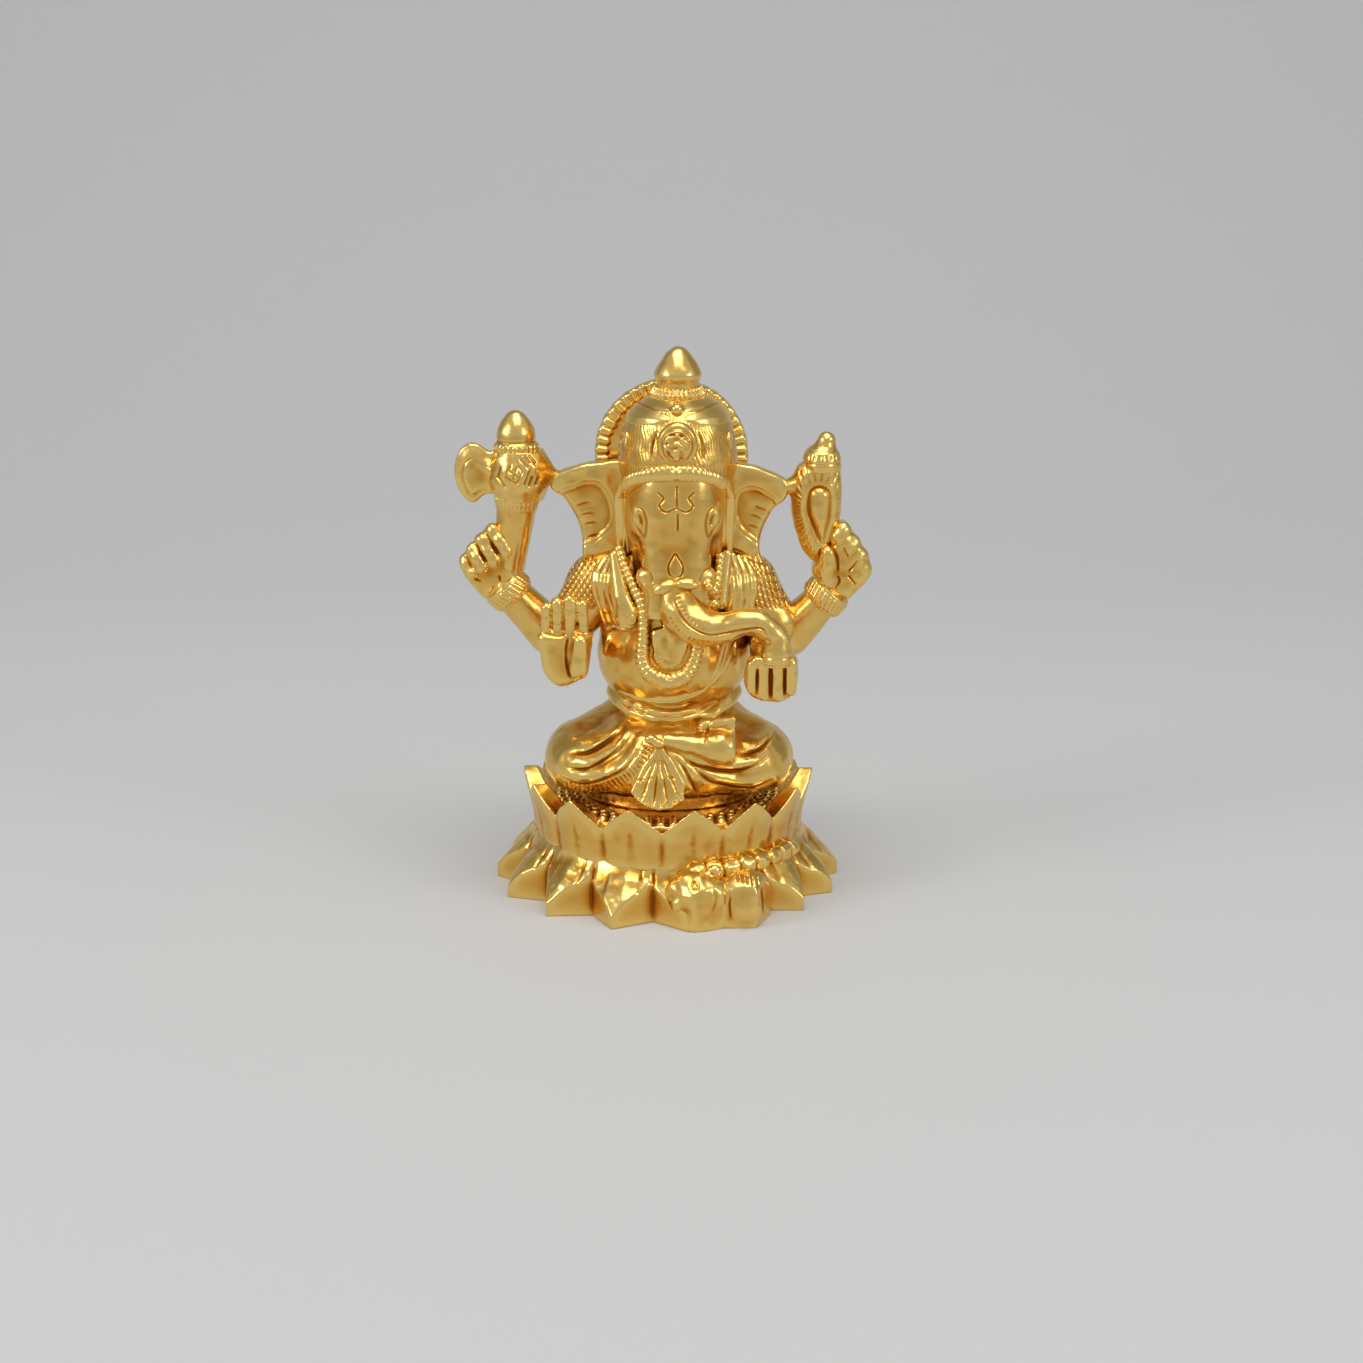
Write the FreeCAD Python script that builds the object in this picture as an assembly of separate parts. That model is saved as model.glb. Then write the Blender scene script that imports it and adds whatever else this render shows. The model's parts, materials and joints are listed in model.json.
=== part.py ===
"""Seated elephant-headed deity figurine on a lotus pedestal, gold-plated brass, 67 mm tall.

Millimetres. +Z up, the figure faces -Y, and +X is the viewer's right when looking at its face.
The origin is on the table, under the centre of the lotus pedestal.

Two castings make the object. The lotus pedestal stands on the table. The figure drops into the pedestal's
socket by a square tenon and lifts straight out. Each casting is split into the pieces its wax pattern is
built up from, and a piece that lies on another is trimmed to it, so neighbours meet face to face.
"""

import FreeCAD, Part
import math
import os

from FreeCAD import Vector

# ---- driving dimensions -------------------------------------------------------------------------

# lotus pedestal
SKIRT_PETALS = 16
SKIRT_TIP_RADIUS = 20.8
SKIRT_VALLEY_RADIUS = 17.7
SKIRT_PHASE_DEG = 1.5
SKIRT_TOP = 6.4
BOWL_PETALS = 14
BOWL_PHASE_DEG = 10.8
BOWL_RIM = 14.7
BOWL_VALLEY = 10.4
BOWL_TIP_RADIUS = 17.5
BOWL_FOOT_RADIUS = 15.9
BOWL_BORE_RADIUS = 14.0
SEAT_TOP = 11.0

# tenon and socket
TENON_SIDE = 7.0
TENON_BOTTOM = 6.7
SOCKET_CLEARANCE = 0.15

# figure
LEGS_UNDERSIDE = 13.0
PLINTH_RADII = (10.4, 8.6)
HEAD_X = 1.3
CROWN_Y = -1.4
CROWN_BASE = 51.6
EAVES_BASE = 57.6
RING_BASE = 60.6
FINIAL_BASE = 61.8
FIGURE_TOP = 66.7
HALO_RADIUS = 9.3
HALO_CENTRE = (0.5, 3.0, 53.0)
HALO_BACK = 3.5  # the back of the halo's disc, where the head and the crown end too
EAR_FRONT = -1.4
EAR_THICKNESS = 1.9

SLIVER = 0.3  # mm3: a trimming leftover smaller than this is dropped


# ---- shapes -------------------------------------------------------------------------------------


def ellipsoid(centre, radii):
    """A solid ellipsoid with its axes along X, Y and Z."""
    stretch = FreeCAD.Matrix()
    stretch.scale(*radii)
    shape = Part.makeSphere(1.0).transformGeometry(stretch)
    shape.translate(Vector(*centre))
    return shape


def oval_disc(centre, radii, thickness):
    """A flat disc, oval in plan, that stands on its centre point."""
    stretch = FreeCAD.Matrix()
    stretch.scale(radii[0], radii[1], 1.0)
    shape = Part.makeCylinder(1.0, thickness).transformGeometry(stretch)
    shape.translate(Vector(*centre))
    return shape


def capsule(start, start_radius, end, end_radius):
    """A round-ended limb that tapers from start to end."""
    a, b = Vector(*start), Vector(*end)
    along = b - a
    length = along.Length
    lean = (start_radius - end_radius) / length
    side = math.sqrt(1.0 - lean * lean)

    def rim(radius, centre):
        return Vector(radius * side, 0, centre + radius * lean)

    def bulge(radius, centre, turn):
        return Vector(radius * math.cos(turn), 0, centre + radius * math.sin(turn))

    slope = math.asin(lean)
    low = (slope - math.pi / 2) / 2
    high = (slope + math.pi / 2) / 2
    bottom, top = Vector(0, 0, -start_radius), Vector(0, 0, length + end_radius)
    lower_arc = Part.Arc(bottom, bulge(start_radius, 0, low), rim(start_radius, 0))
    upper_arc = Part.Arc(rim(end_radius, length), bulge(end_radius, length, high), top)
    flank = Part.LineSegment(rim(start_radius, 0), rim(end_radius, length))
    spine = Part.LineSegment(top, bottom)
    wire = Part.Wire([edge.toShape() for edge in (lower_arc, flank, upper_arc, spine)])
    shape = Part.Face(wire).revolve(Vector(0, 0, 0), Vector(0, 0, 1), 360)
    shape.Placement = FreeCAD.Placement(a, FreeCAD.Rotation(Vector(0, 0, 1), along))
    return shape


def tube(stations):
    """A smooth tube through stations of (x, y, z, radius), cut square at both ends."""
    points = [Vector(*s[:3]) for s in stations]
    rings = []
    for i, station in enumerate(stations):
        ahead = points[min(i + 1, len(points) - 1)]
        behind = points[max(i - 1, 0)]
        circle = Part.Circle(points[i], ahead - behind, station[3])
        rings.append(Part.Wire([circle.toShape()]))
    return Part.makeLoft(rings, True)


def turned(profile, centre=(0, 0)):
    """A solid of revolution about a vertical axis, from (radius, z) points. The first and last lie on it."""
    points = [Vector(r, 0, z) for r, z in profile]
    face = Part.Face(Part.makePolygon(points + points[:1]))
    shape = face.revolve(Vector(0, 0, 0), Vector(0, 0, 1), 360)
    shape.translate(Vector(centre[0], centre[1], 0))
    return shape


def turned_along(start, end, profile):
    """A solid of revolution about the line from start to end, from (radius, distance along) points."""
    shape = turned(profile)
    a, b = Vector(*start), Vector(*end)
    shape.Placement = FreeCAD.Placement(a, FreeCAD.Rotation(Vector(0, 0, 1), b - a))
    return shape


def plate(outline, front, thickness):
    """A flat plate that faces -Y. Its outline is a smooth closed curve through (x, z) points."""
    curve = Part.BSplineCurve()
    curve.interpolate([Vector(x, front, z) for x, z in outline], PeriodicFlag=True)
    face = Part.Face(Part.Wire([curve.toShape()]))
    return face.extrude(Vector(0, thickness, 0))


def panel(corners, front, thickness):
    """A flat panel that faces -Y, with straight sides between its (x, z) corners."""
    points = [Vector(x, front, z) for x, z in corners]
    face = Part.Face(Part.makePolygon(points + points[:1]))
    return face.extrude(Vector(0, thickness, 0))


def fused(*shapes):
    whole = shapes[0].multiFuse(list(shapes[1:])) if len(shapes) > 1 else shapes[0]
    return whole.removeSplitter()


def polar(radius, degrees, z=0.0):
    """A point at that radius, turned from the front (-Y) towards +X."""
    turn = math.radians(degrees)
    return Vector(radius * math.sin(turn), -radius * math.cos(turn), z)


def above(shape, height):
    """What lies above that height."""
    box = Part.makeBox(80, 80, 80, Vector(-40, -40, height))
    return shape.common(box)


def before(shape, depth):
    """What lies in front of that depth."""
    box = Part.makeBox(80, 80, 80, Vector(-40, depth - 80, 0))
    return shape.common(box)


# ---- lotus pedestal -----------------------------------------------------------------------------


def lotus_skirt():
    """The lower row of petals: a flared skirt cut to a star in plan."""
    flare = turned([(0, 0), (21, 0), (21, 1.3), (18.7, 3.1), (16.7, 4.9), (15.9, SKIRT_TOP), (0, SKIRT_TOP)])
    pitch = 360 / SKIRT_PETALS
    star = []
    for petal in range(SKIRT_PETALS):
        middle = SKIRT_PHASE_DEG + petal * pitch
        star.append(polar(SKIRT_TIP_RADIUS, middle))
        star.append(polar(SKIRT_VALLEY_RADIUS, middle + pitch / 2))
    prism = Part.Face(Part.makePolygon(star + star[:1])).extrude(Vector(0, 0, 10))
    return flare.common(prism)


def lotus_bowl():
    """The upper row of petals: a flared ring whose rim is notched into points."""
    wall = turned(
        [
            (BOWL_BORE_RADIUS, SKIRT_TOP),
            (BOWL_FOOT_RADIUS, SKIRT_TOP),
            (16.4, 9.4),
            (BOWL_TIP_RADIUS, BOWL_RIM),
            (15.5, BOWL_RIM),
            (BOWL_BORE_RADIUS, SEAT_TOP),
        ]
    )
    pitch = 360 / BOWL_PETALS
    half_width = BOWL_TIP_RADIUS * math.sin(math.radians(pitch / 2)) * 0.96
    over = BOWL_RIM + 0.5
    grow = half_width * (over - BOWL_VALLEY) / (BOWL_RIM - BOWL_VALLEY)
    notches = []
    for petal in range(BOWL_PETALS):
        corners = [Vector(10, -grow, over), Vector(10, grow, over), Vector(10, 0, BOWL_VALLEY)]
        notch = Part.Face(Part.makePolygon(corners + corners[:1])).extrude(Vector(10, 0, 0))
        turn = BOWL_PHASE_DEG + (petal + 0.5) * pitch - 90
        notch.rotate(Vector(0, 0, 0), Vector(0, 0, 1), turn)
        notches.append(notch)
    return wall.cut(notches)


def lotus_seat():
    """The floor of the lotus. A square socket goes through it, down to the skirt's flat top."""
    disc = Part.makeCylinder(BOWL_BORE_RADIUS, SEAT_TOP - SKIRT_TOP, Vector(0, 0, SKIRT_TOP))
    side = TENON_SIDE + 2 * SOCKET_CLEARANCE
    corner = Vector(-side / 2, -side / 2, 0)
    return disc.cut(Part.makeBox(side, side, 2 * SEAT_TOP, corner))


def mouse_body():
    haunch = ellipsoid((9.4, -16.6, 2.6), (3.5, 3.0, 3.3))
    flank = ellipsoid((7.2, -17.2, 2.4), (3.2, 2.9, 2.9))
    return above(fused(haunch, flank), 0)


def mouse_head():
    skull = ellipsoid((4.2, -17.6, 3.8), (2.6, 2.3, 2.5))
    snout = capsule((3.9, -18.2, 2.9), 1.9, (2.6, -18.9, 1.7), 1.5)
    return above(fused(skull, snout), 0)


def mouse_ear():
    return turned_along((5.4, -16.9, 5.4), (5.1, -18.3, 6.2), [(0, 0), (1.25, 0), (1.25, 0.6), (0, 0.9)])


def mouse_tail():
    """The tail, laid along the foot of the upper petals."""
    path = [(polar(16.6, turn, 5.9), 0.9 - 0.006 * (turn - 14)) for turn in (58, 47, 36, 25, 14)]
    return tube([(p.x, p.y, p.z, r) for p, r in path])


# ---- the figure's seat, legs and trunk of the body ----------------------------------------------


def seat_tenon():
    """The square tenon under the figure. It clears the floor and the sides of its socket."""
    corner = Vector(-TENON_SIDE / 2, -TENON_SIDE / 2, TENON_BOTTOM)
    return Part.makeBox(TENON_SIDE, TENON_SIDE, SEAT_TOP - TENON_BOTTOM, corner)


def seat_plinth():
    """The flat oval that the figure rests on."""
    return oval_disc((0, 0.6, SEAT_TOP), PLINTH_RADII, LEGS_UNDERSIDE - SEAT_TOP)


def crossed_legs():
    """Both folded legs under the dhoti, flat underneath."""
    lap = ellipsoid((0.3, -3.4, 17.3), (12.0, 9.4, 6.2))
    right_knee = ellipsoid((-9.0, -3.2, 16.6), (6.0, 7.8, 4.9))
    left_knee = ellipsoid((9.4, -3.2, 16.6), (6.0, 7.8, 4.9))
    hips = ellipsoid((0.8, 1.2, 18.6), (11.6, 9.6, 6.2))
    return above(fused(lap, right_knee, left_knee, hips), LEGS_UNDERSIDE)


def torso():
    belly = ellipsoid((0.8, -1.2, 29.0), (9.0, 7.6, 7.6))
    chest = ellipsoid((0.8, 0.2, 34.6), (9.4, 6.2, 8.2))
    return above(fused(belly, chest), 23.2)


def waist_sash():
    """The folded cloth round the waist."""
    band = oval_disc((0, 0, 0), (9.6, 7.9), 2.2)
    band.rotate(Vector(0, 0, 0), Vector(1, 0, 0), 8)
    band.translate(Vector(0.8, -1.0, 23.2))
    return band


def dhoti_pleats():
    """The fan of pleats that hangs between the shins."""
    corners = [(-0.8, 21.2), (-4.1, 14.8), (-3.0, 13.7), (-1.0, 13.1), (1.4, 13.6), (2.6, 14.8)]
    return panel(corners, -13.9, 3.0)


def resting_foot():
    """The right shin and foot, laid across the left thigh."""
    shin = capsule((0.6, -10.4, 19.2), 1.6, (6.6, -10.2, 20.0), 2.6)
    sole = panel([(6.8, 17.6), (9.0, 17.4), (8.8, 23.4), (7.2, 23.0)], -12.6, 4.6)
    return fused(shin, sole)


# ---- ornaments on the body ----------------------------------------------------------------------


def garland():
    """The thick rope garland: down from the right ear, round the chest and up to the left ear."""
    return tube(
        [
            (-5.6, -5.2, 42.2, 0.8),
            (-4.3, -7.0, 39.2, 0.85),
            (-3.3, -8.0, 36.0, 0.9),
            (-3.2, -8.6, 32.8, 1.0),
            (-3.0, -9.1, 30.2, 1.05),
            (-1.7, -9.4, 28.1, 1.1),
            (0.3, -9.5, 27.4, 1.1),
            (2.3, -9.4, 28.1, 1.1),
            (3.6, -9.1, 30.2, 1.05),
            (4.2, -8.6, 33.0, 1.0),
            (5.4, -7.6, 36.6, 0.9),
            (7.4, -5.2, 41.6, 0.8),
        ]
    )


def pendant():
    return ellipsoid((0.6, -8.3, 31.4), (2.1, 1.5, 3.0))


def body_sash():
    """The cloth that falls from the left shoulder and crosses under the belly."""
    return tube(
        [
            (9.2, -4.4, 35.0, 0.8),
            (8.2, -6.6, 30.6, 0.9),
            (6.2, -8.0, 27.2, 1.0),
            (2.7, -8.8, 25.4, 1.0),
            (-1.2, -8.6, 25.0, 1.0),
            (-5.0, -7.2, 25.6, 0.9),
            (-8.0, -4.2, 26.8, 0.8),
        ]
    )


def side_tassel(side):
    """The drop-shaped lock that hangs in front of each shoulder. side is -1 on the right, 1 on the left."""
    middle = 0.9
    upper = (middle + side * 7.2, -5.4, 42.4)
    lower = (middle + side * 6.0, -7.4, 35.6)
    return capsule(upper, 0.8, lower, 1.9)


# ---- arms and hands -----------------------------------------------------------------------------


def upper_arm(side):
    """From the shoulder to the elbow, with the sleeve."""
    middle = 0.6
    return capsule((middle + side * 8.4, -0.4, 38.0), 3.3, (middle + side * 12.6, -0.6, 32.4), 3.1)


def back_forearm(wrist, elbow):
    return capsule(elbow, 2.9, wrist, 2.3)


def bracelet(wrist, elbow):
    """A ribbed cuff round the wrist, on the forearm's own axis."""
    profile = [(0, -1.1), (2.7, -1.1), (3.2, -0.5), (3.2, 0.5), (2.7, 1.1), (0, 1.1)]
    return turned_along(wrist, elbow, profile)


# The wrist, the knuckles, the middle finger's end, and how far the fingers spread across the fist.
RIGHT_FIST = ((-20.0, -0.5, 38.0), (-21.6, -0.6, 40.6), (-22.6, -1.3, 43.2), (3.4, 0, 3.4))
LEFT_FIST = ((19.9, -0.5, 37.8), (21.0, -0.6, 41.0), (22.7, -1.3, 42.2), (2.6, 0, -4.0))


def fist(wrist, knuckles, centre_finger, spread):
    """A closed hand: the palm and four fingers across its outer edge."""
    palm = capsule(wrist, 2.5, knuckles, 2.7)
    fingers = []
    for k in range(4):
        step = (k - 1.5) / 3
        tip = [centre_finger[i] + step * spread[i] for i in range(3)]
        root = [tip[0] * 0.55 + knuckles[0] * 0.45, tip[1] + 0.1, tip[2] * 0.55 + knuckles[2] * 0.45]
        fingers.append(capsule(root, 1.0, tip, 0.95))
    return fused(palm, *fingers)


def front_forearm(elbow, wrist):
    return capsule(elbow, 2.7, wrist, 2.2)


def raised_hand():
    """The front right hand, palm forward and fingers up."""
    palm = ellipsoid((-12.2, -9.9, 31.2), (2.7, 1.9, 3.9))
    thumb = capsule((-9.9, -10.4, 29.6), 1.0, (-9.7, -10.6, 33.0), 0.8)
    fingers = []
    for k in range(4):
        x = -14.0 + 1.42 * k
        top = 38.0 + 0.35 * k - 0.1 * k * k
        fingers.append(capsule((x, -10.1, 33.2), 0.85, (x, -10.5, top), 0.78))
    return fused(palm, thumb, *fingers)


def lowered_hand():
    """The front left hand, fingers down, under the tip of the elephant's trunk."""
    palm = capsule((11.8, -11.0, 29.5), 1.9, (13.2, -11.0, 29.5), 1.8)
    fingers = []
    for k in range(4):
        x = 10.45 + 1.38 * k
        drop = 26.9 + 0.25 * abs(k - 1.5)
        fingers.append(capsule((x, -12.3, 30.7), 0.8, (x, -12.3, drop), 0.8))
    return fused(palm, *fingers)


# ---- what the back hands hold -------------------------------------------------------------------


def axe_shaft():
    profile = [(0, 0), (1.6, 0), (1.9, 3.6), (2.4, 6.4), (2.4, 8.0), (0, 8.0)]
    return turned_along((-18.7, -0.4, 40.4), (-18.1, -0.4, 48.4), profile)


def axe_knob():
    """The barrel that carries the blade, and the spur that braces it to the ear."""
    profile = [(0, 48.3), (2.7, 48.3), (3.8, 50.3), (3.7, 52.0), (2.6, 53.9), (0, 53.9)]
    barrel = turned(profile, (-18.0, -0.3))
    spur = capsule((-16.4, -0.4, 51.4), 1.7, (-13.9, -0.5, 51.1), 0.7)
    return fused(barrel, spur)


def axe_blade():
    outline = [
        (-20.6, 49.3),
        (-21.9, 48.6),
        (-23.4, 47.6),
        (-24.8, 48.7),
        (-25.7, 51.3),
        (-25.1, 53.7),
        (-23.9, 54.9),
        (-22.6, 54.8),
        (-21.5, 54.0),
        (-20.6, 53.7),
    ]
    return plate(outline, -1.1, 1.6)


def axe_finial():
    profile = [(0, 53.9), (2.4, 53.9), (2.5, 54.8), (2.1, 55.4)]
    profile += [(1.9, 56.6), (1.3, 57.9), (0.4, 58.8), (0, 58.9)]
    return turned(profile, (-18.1, -0.3))


def noose():
    """The looped noose, seen from the front as a long drop."""
    rings = []
    for z, x, half_width, half_depth in (
        (40.6, 17.8, 1.5, 1.5),
        (43.0, 18.0, 2.1, 1.7),
        (46.0, 18.0, 2.8, 1.9),
        (49.2, 17.9, 3.1, 2.0),
        (51.2, 18.1, 2.9, 2.0),
        (52.6, 18.4, 2.4, 1.9),
    ):
        ellipse = Part.Ellipse(Vector(x, -0.3, z), half_width, min(half_depth, half_width - 1e-3))
        rings.append(Part.Wire([ellipse.toShape()]))
    loop = Part.makeLoft(rings, True)
    spur = capsule((16.4, -0.4, 49.6), 1.2, (15.2, -0.5, 49.6), 0.9)
    return fused(loop, spur)


def noose_tip():
    profile = [(0, 52.6), (2.3, 52.6), (2.2, 53.6), (1.7, 54.4), (1.2, 55.4), (0.5, 56.1), (0, 56.3)]
    return turned(profile, (18.7, -0.3))


# ---- head, trunk and crown ----------------------------------------------------------------------


def head():
    skull = ellipsoid((HEAD_X, -1.8, 47.6), (6.3, 6.4, 8.4))
    brow = capsule((HEAD_X, -4.2, 48.6), 5.0, (HEAD_X - 0.1, -5.6, 40.6), 3.6)
    return before(fused(skull, brow), HALO_BACK)


def elephant_trunk():
    """From the mouth, across the chest and down onto the left hand."""
    return tube(
        [
            (1.2, -7.4, 40.4, 3.2),
            (1.1, -8.8, 38.0, 3.1),
            (1.8, -10.0, 36.2, 2.8),
            (3.4, -10.9, 35.0, 2.4),
            (5.6, -11.5, 34.7, 2.0),
            (8.2, -11.9, 35.4, 1.75),
            (10.4, -12.1, 35.7, 1.65),
            (12.2, -12.1, 34.9, 1.65),
            (12.8, -12.1, 33.2, 1.7),
            (12.8, -12.1, 31.6, 1.8),
        ]
    )


def tusk(side):
    """Each tusk's root. The right one is broken short, as the deity's is."""
    length = 1.3 if side < 0 else 2.4
    start = (HEAD_X + side * 3.1, -7.0, 39.6)
    end = (start[0] + side * 0.5, start[1] - length, start[2] - 0.4 * length)
    return capsule(start, 1.1, end, 0.7)


RIGHT_EAR = [
    (-6.0, 52.5),
    (-8.3, 52.8),
    (-10.5, 52.4),
    (-13.6, 51.0),
    (-13.2, 48.6),
    (-11.6, 46.0),
    (-10.3, 43.4),
    (-10.1, 41.2),
    (-8.2, 41.5),
    (-6.0, 42.3),
    (-5.4, 47.4),
]
LEFT_EAR = [
    (7.9, 52.5),
    (9.8, 52.5),
    (12.2, 51.7),
    (14.7, 50.0),
    (14.1, 48.0),
    (12.5, 46.0),
    (11.2, 43.4),
    (11.3, 40.8),
    (9.6, 41.2),
    (8.0, 42.0),
    (7.3, 47.2),
]


def ear(outline):
    return plate(outline, EAR_FRONT, EAR_THICKNESS)


def crown():
    profile = [(0, CROWN_BASE), (7.0, CROWN_BASE), (7.3, 53.6)]
    profile += [(6.9, 55.9), (6.2, EAVES_BASE), (0, EAVES_BASE)]
    return before(turned(profile, (HEAD_X, CROWN_Y)), HALO_BACK)


def crown_brim():
    """The ribbed border that frames the face: an arch over the brow, down to the ears' lower roots."""
    half = [(6.6, -3.6, 42.8), (6.7, -4.4, 46.6), (6.5, -5.4, 50.2), (4.2, -8.0, 52.5)]
    right = [(HEAD_X - x, y, z, 0.8) for x, y, z in half]
    left = [(HEAD_X + x, y, z, 0.8) for x, y, z in reversed(half)]
    return tube(right + [(HEAD_X, -9.0, 53.3, 0.9)] + left)


def crown_jewel():
    return ellipsoid((HEAD_X, -7.8, 56.2), (2.4, 1.7, 2.7))


def crown_eaves():
    profile = [(0, EAVES_BASE), (6.4, EAVES_BASE), (6.6, 58.2)]
    profile += [(5.0, 59.8), (3.4, RING_BASE), (0, RING_BASE)]
    return before(turned(profile, (HEAD_X, CROWN_Y)), HALO_BACK)


def crown_ring():
    return Part.makeCylinder(3.3, FINIAL_BASE - RING_BASE, Vector(HEAD_X, CROWN_Y, RING_BASE))


def finial():
    profile = [
        (0, FINIAL_BASE),
        (2.5, FINIAL_BASE),
        (2.4, 62.4),
        (2.9, 63.4),
        (2.3, 64.8),
        (1.4, 65.9),
        (0.5, 66.6),
        (0, FIGURE_TOP),
    ]
    return turned(profile, (HEAD_X, CROWN_Y))


def halo():
    """The round halo behind the crown: a disc with a thicker rim."""
    x, y, z = HALO_CENTRE
    disc = Part.makeCylinder(HALO_RADIUS - 1.3, 1.0, Vector(x, HALO_BACK - 1.0, z), Vector(0, 1, 0))
    rim = Part.makeCylinder(HALO_RADIUS, 1.8, Vector(x, y - 0.9, z), Vector(0, 1, 0))
    rim = rim.cut(Part.makeCylinder(HALO_RADIUS - 1.4, 3.0, Vector(x, y - 1.5, z), Vector(0, 1, 0)))
    return fused(disc, rim)


# ---- the two castings ---------------------------------------------------------------------------

RIGHT, LEFT = -1, 1
RIGHT_WRIST, RIGHT_ELBOW = (-19.3, -0.4, 36.9), (-14.6, 0.4, 31.0)
LEFT_WRIST, LEFT_ELBOW = (19.3, -0.4, 36.4), (15.2, 0.4, 31.0)

# Each casting's pieces in trimming order: a later piece gives way to every earlier one.
LOTUS = [
    ("lotus_skirt", lotus_skirt),
    ("lotus_bowl", lotus_bowl),
    ("lotus_seat", lotus_seat),
    ("mouse_body", mouse_body),
    ("mouse_head", mouse_head),
    ("mouse_ear", mouse_ear),
    ("mouse_tail", mouse_tail),
]
FIGURE = [
    ("seat_tenon", seat_tenon),
    ("seat_plinth", seat_plinth),
    ("crossed_legs", crossed_legs),
    ("torso", torso),
    ("head", head),
    ("crown", crown),
    ("crown_eaves", crown_eaves),
    ("crown_ring", crown_ring),
    ("finial", finial),
    ("halo", halo),
    ("ear_right", lambda: ear(RIGHT_EAR)),
    ("ear_left", lambda: ear(LEFT_EAR)),
    ("crown_brim", crown_brim),
    ("crown_jewel", crown_jewel),
    ("elephant_trunk", elephant_trunk),
    ("tusk_right", lambda: tusk(RIGHT)),
    ("tusk_left", lambda: tusk(LEFT)),
    ("waist_sash", waist_sash),
    ("dhoti_pleats", dhoti_pleats),
    ("resting_foot", resting_foot),
    ("upper_arm_right", lambda: upper_arm(RIGHT)),
    ("upper_arm_left", lambda: upper_arm(LEFT)),
    ("back_forearm_right", lambda: back_forearm(RIGHT_WRIST, RIGHT_ELBOW)),
    ("back_forearm_left", lambda: back_forearm(LEFT_WRIST, LEFT_ELBOW)),
    ("back_fist_right", lambda: fist(*RIGHT_FIST)),
    ("back_fist_left", lambda: fist(*LEFT_FIST)),
    ("bracelet_right", lambda: bracelet(RIGHT_WRIST, RIGHT_ELBOW)),
    ("bracelet_left", lambda: bracelet(LEFT_WRIST, LEFT_ELBOW)),
    ("axe_shaft", axe_shaft),
    ("axe_knob", axe_knob),
    ("axe_finial", axe_finial),
    ("axe_blade", axe_blade),
    ("noose", noose),
    ("noose_tip", noose_tip),
    ("front_hand_right", raised_hand),
    ("front_hand_left", lowered_hand),
    ("front_forearm_right", lambda: front_forearm((-11.8, -2.0, 31.4), (-12.2, -8.6, 30.6))),
    ("front_forearm_left", lambda: front_forearm((12.6, -2.0, 31.6), (12.6, -9.8, 30.4))),
    ("garland", garland),
    ("body_sash", body_sash),
    ("pendant", pendant),
    ("side_tassel_right", lambda: side_tassel(RIGHT)),
    ("side_tassel_left", lambda: side_tassel(LEFT)),
]


def trimmed(shape, placed):
    """shape without what it shares with the pieces already placed, as its largest solid."""
    near = [other for other in placed if other.BoundBox.intersect(shape.BoundBox)]
    if near:
        shape = shape.cut(near)
    solids = [solid for solid in shape.Solids if solid.Volume > SLIVER]
    return max(solids, key=lambda solid: solid.Volume)


def build(casting):
    placed = []
    for name, make in casting:
        solid = trimmed(make(), placed)
        placed.append(solid)
        solid.exportStep(f"parts/{name}.step")
        state = "ok" if solid.isValid() else "INVALID"
        print(f"{name:20s} {solid.Volume:9.2f} mm3 {state}")


os.makedirs("parts", exist_ok=True)
build(LOTUS)
build(FIGURE)
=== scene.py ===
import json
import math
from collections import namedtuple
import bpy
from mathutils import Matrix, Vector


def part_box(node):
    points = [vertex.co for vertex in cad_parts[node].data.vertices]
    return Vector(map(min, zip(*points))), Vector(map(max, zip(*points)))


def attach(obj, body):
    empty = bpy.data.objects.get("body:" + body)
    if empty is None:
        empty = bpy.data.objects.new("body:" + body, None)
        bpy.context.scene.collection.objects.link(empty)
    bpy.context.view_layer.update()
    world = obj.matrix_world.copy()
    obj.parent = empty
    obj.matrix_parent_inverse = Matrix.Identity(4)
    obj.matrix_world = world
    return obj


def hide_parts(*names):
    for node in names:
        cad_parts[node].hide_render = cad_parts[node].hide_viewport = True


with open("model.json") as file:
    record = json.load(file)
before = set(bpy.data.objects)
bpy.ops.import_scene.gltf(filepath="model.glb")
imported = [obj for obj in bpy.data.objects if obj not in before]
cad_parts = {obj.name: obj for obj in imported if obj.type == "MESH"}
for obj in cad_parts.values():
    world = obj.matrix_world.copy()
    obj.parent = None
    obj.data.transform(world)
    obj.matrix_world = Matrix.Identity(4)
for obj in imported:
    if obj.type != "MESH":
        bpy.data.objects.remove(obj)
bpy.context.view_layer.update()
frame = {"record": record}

# A gold-plated elephant-headed deity on a lotus pedestal. Each piece is sculpted as a field of distances,
# negative inside the metal, in millimetres in the row frame. The field is then meshed in metres. The
# figure faces -Y, and +X is the viewer's right.

from concurrent.futures import ThreadPoolExecutor
from functools import partial

import bpy
import numpy as np
import openvdb
from mathutils import Vector

MM = 0.001
COARSE = 1.0

# ---- driving dimensions, in millimetres ----

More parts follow.
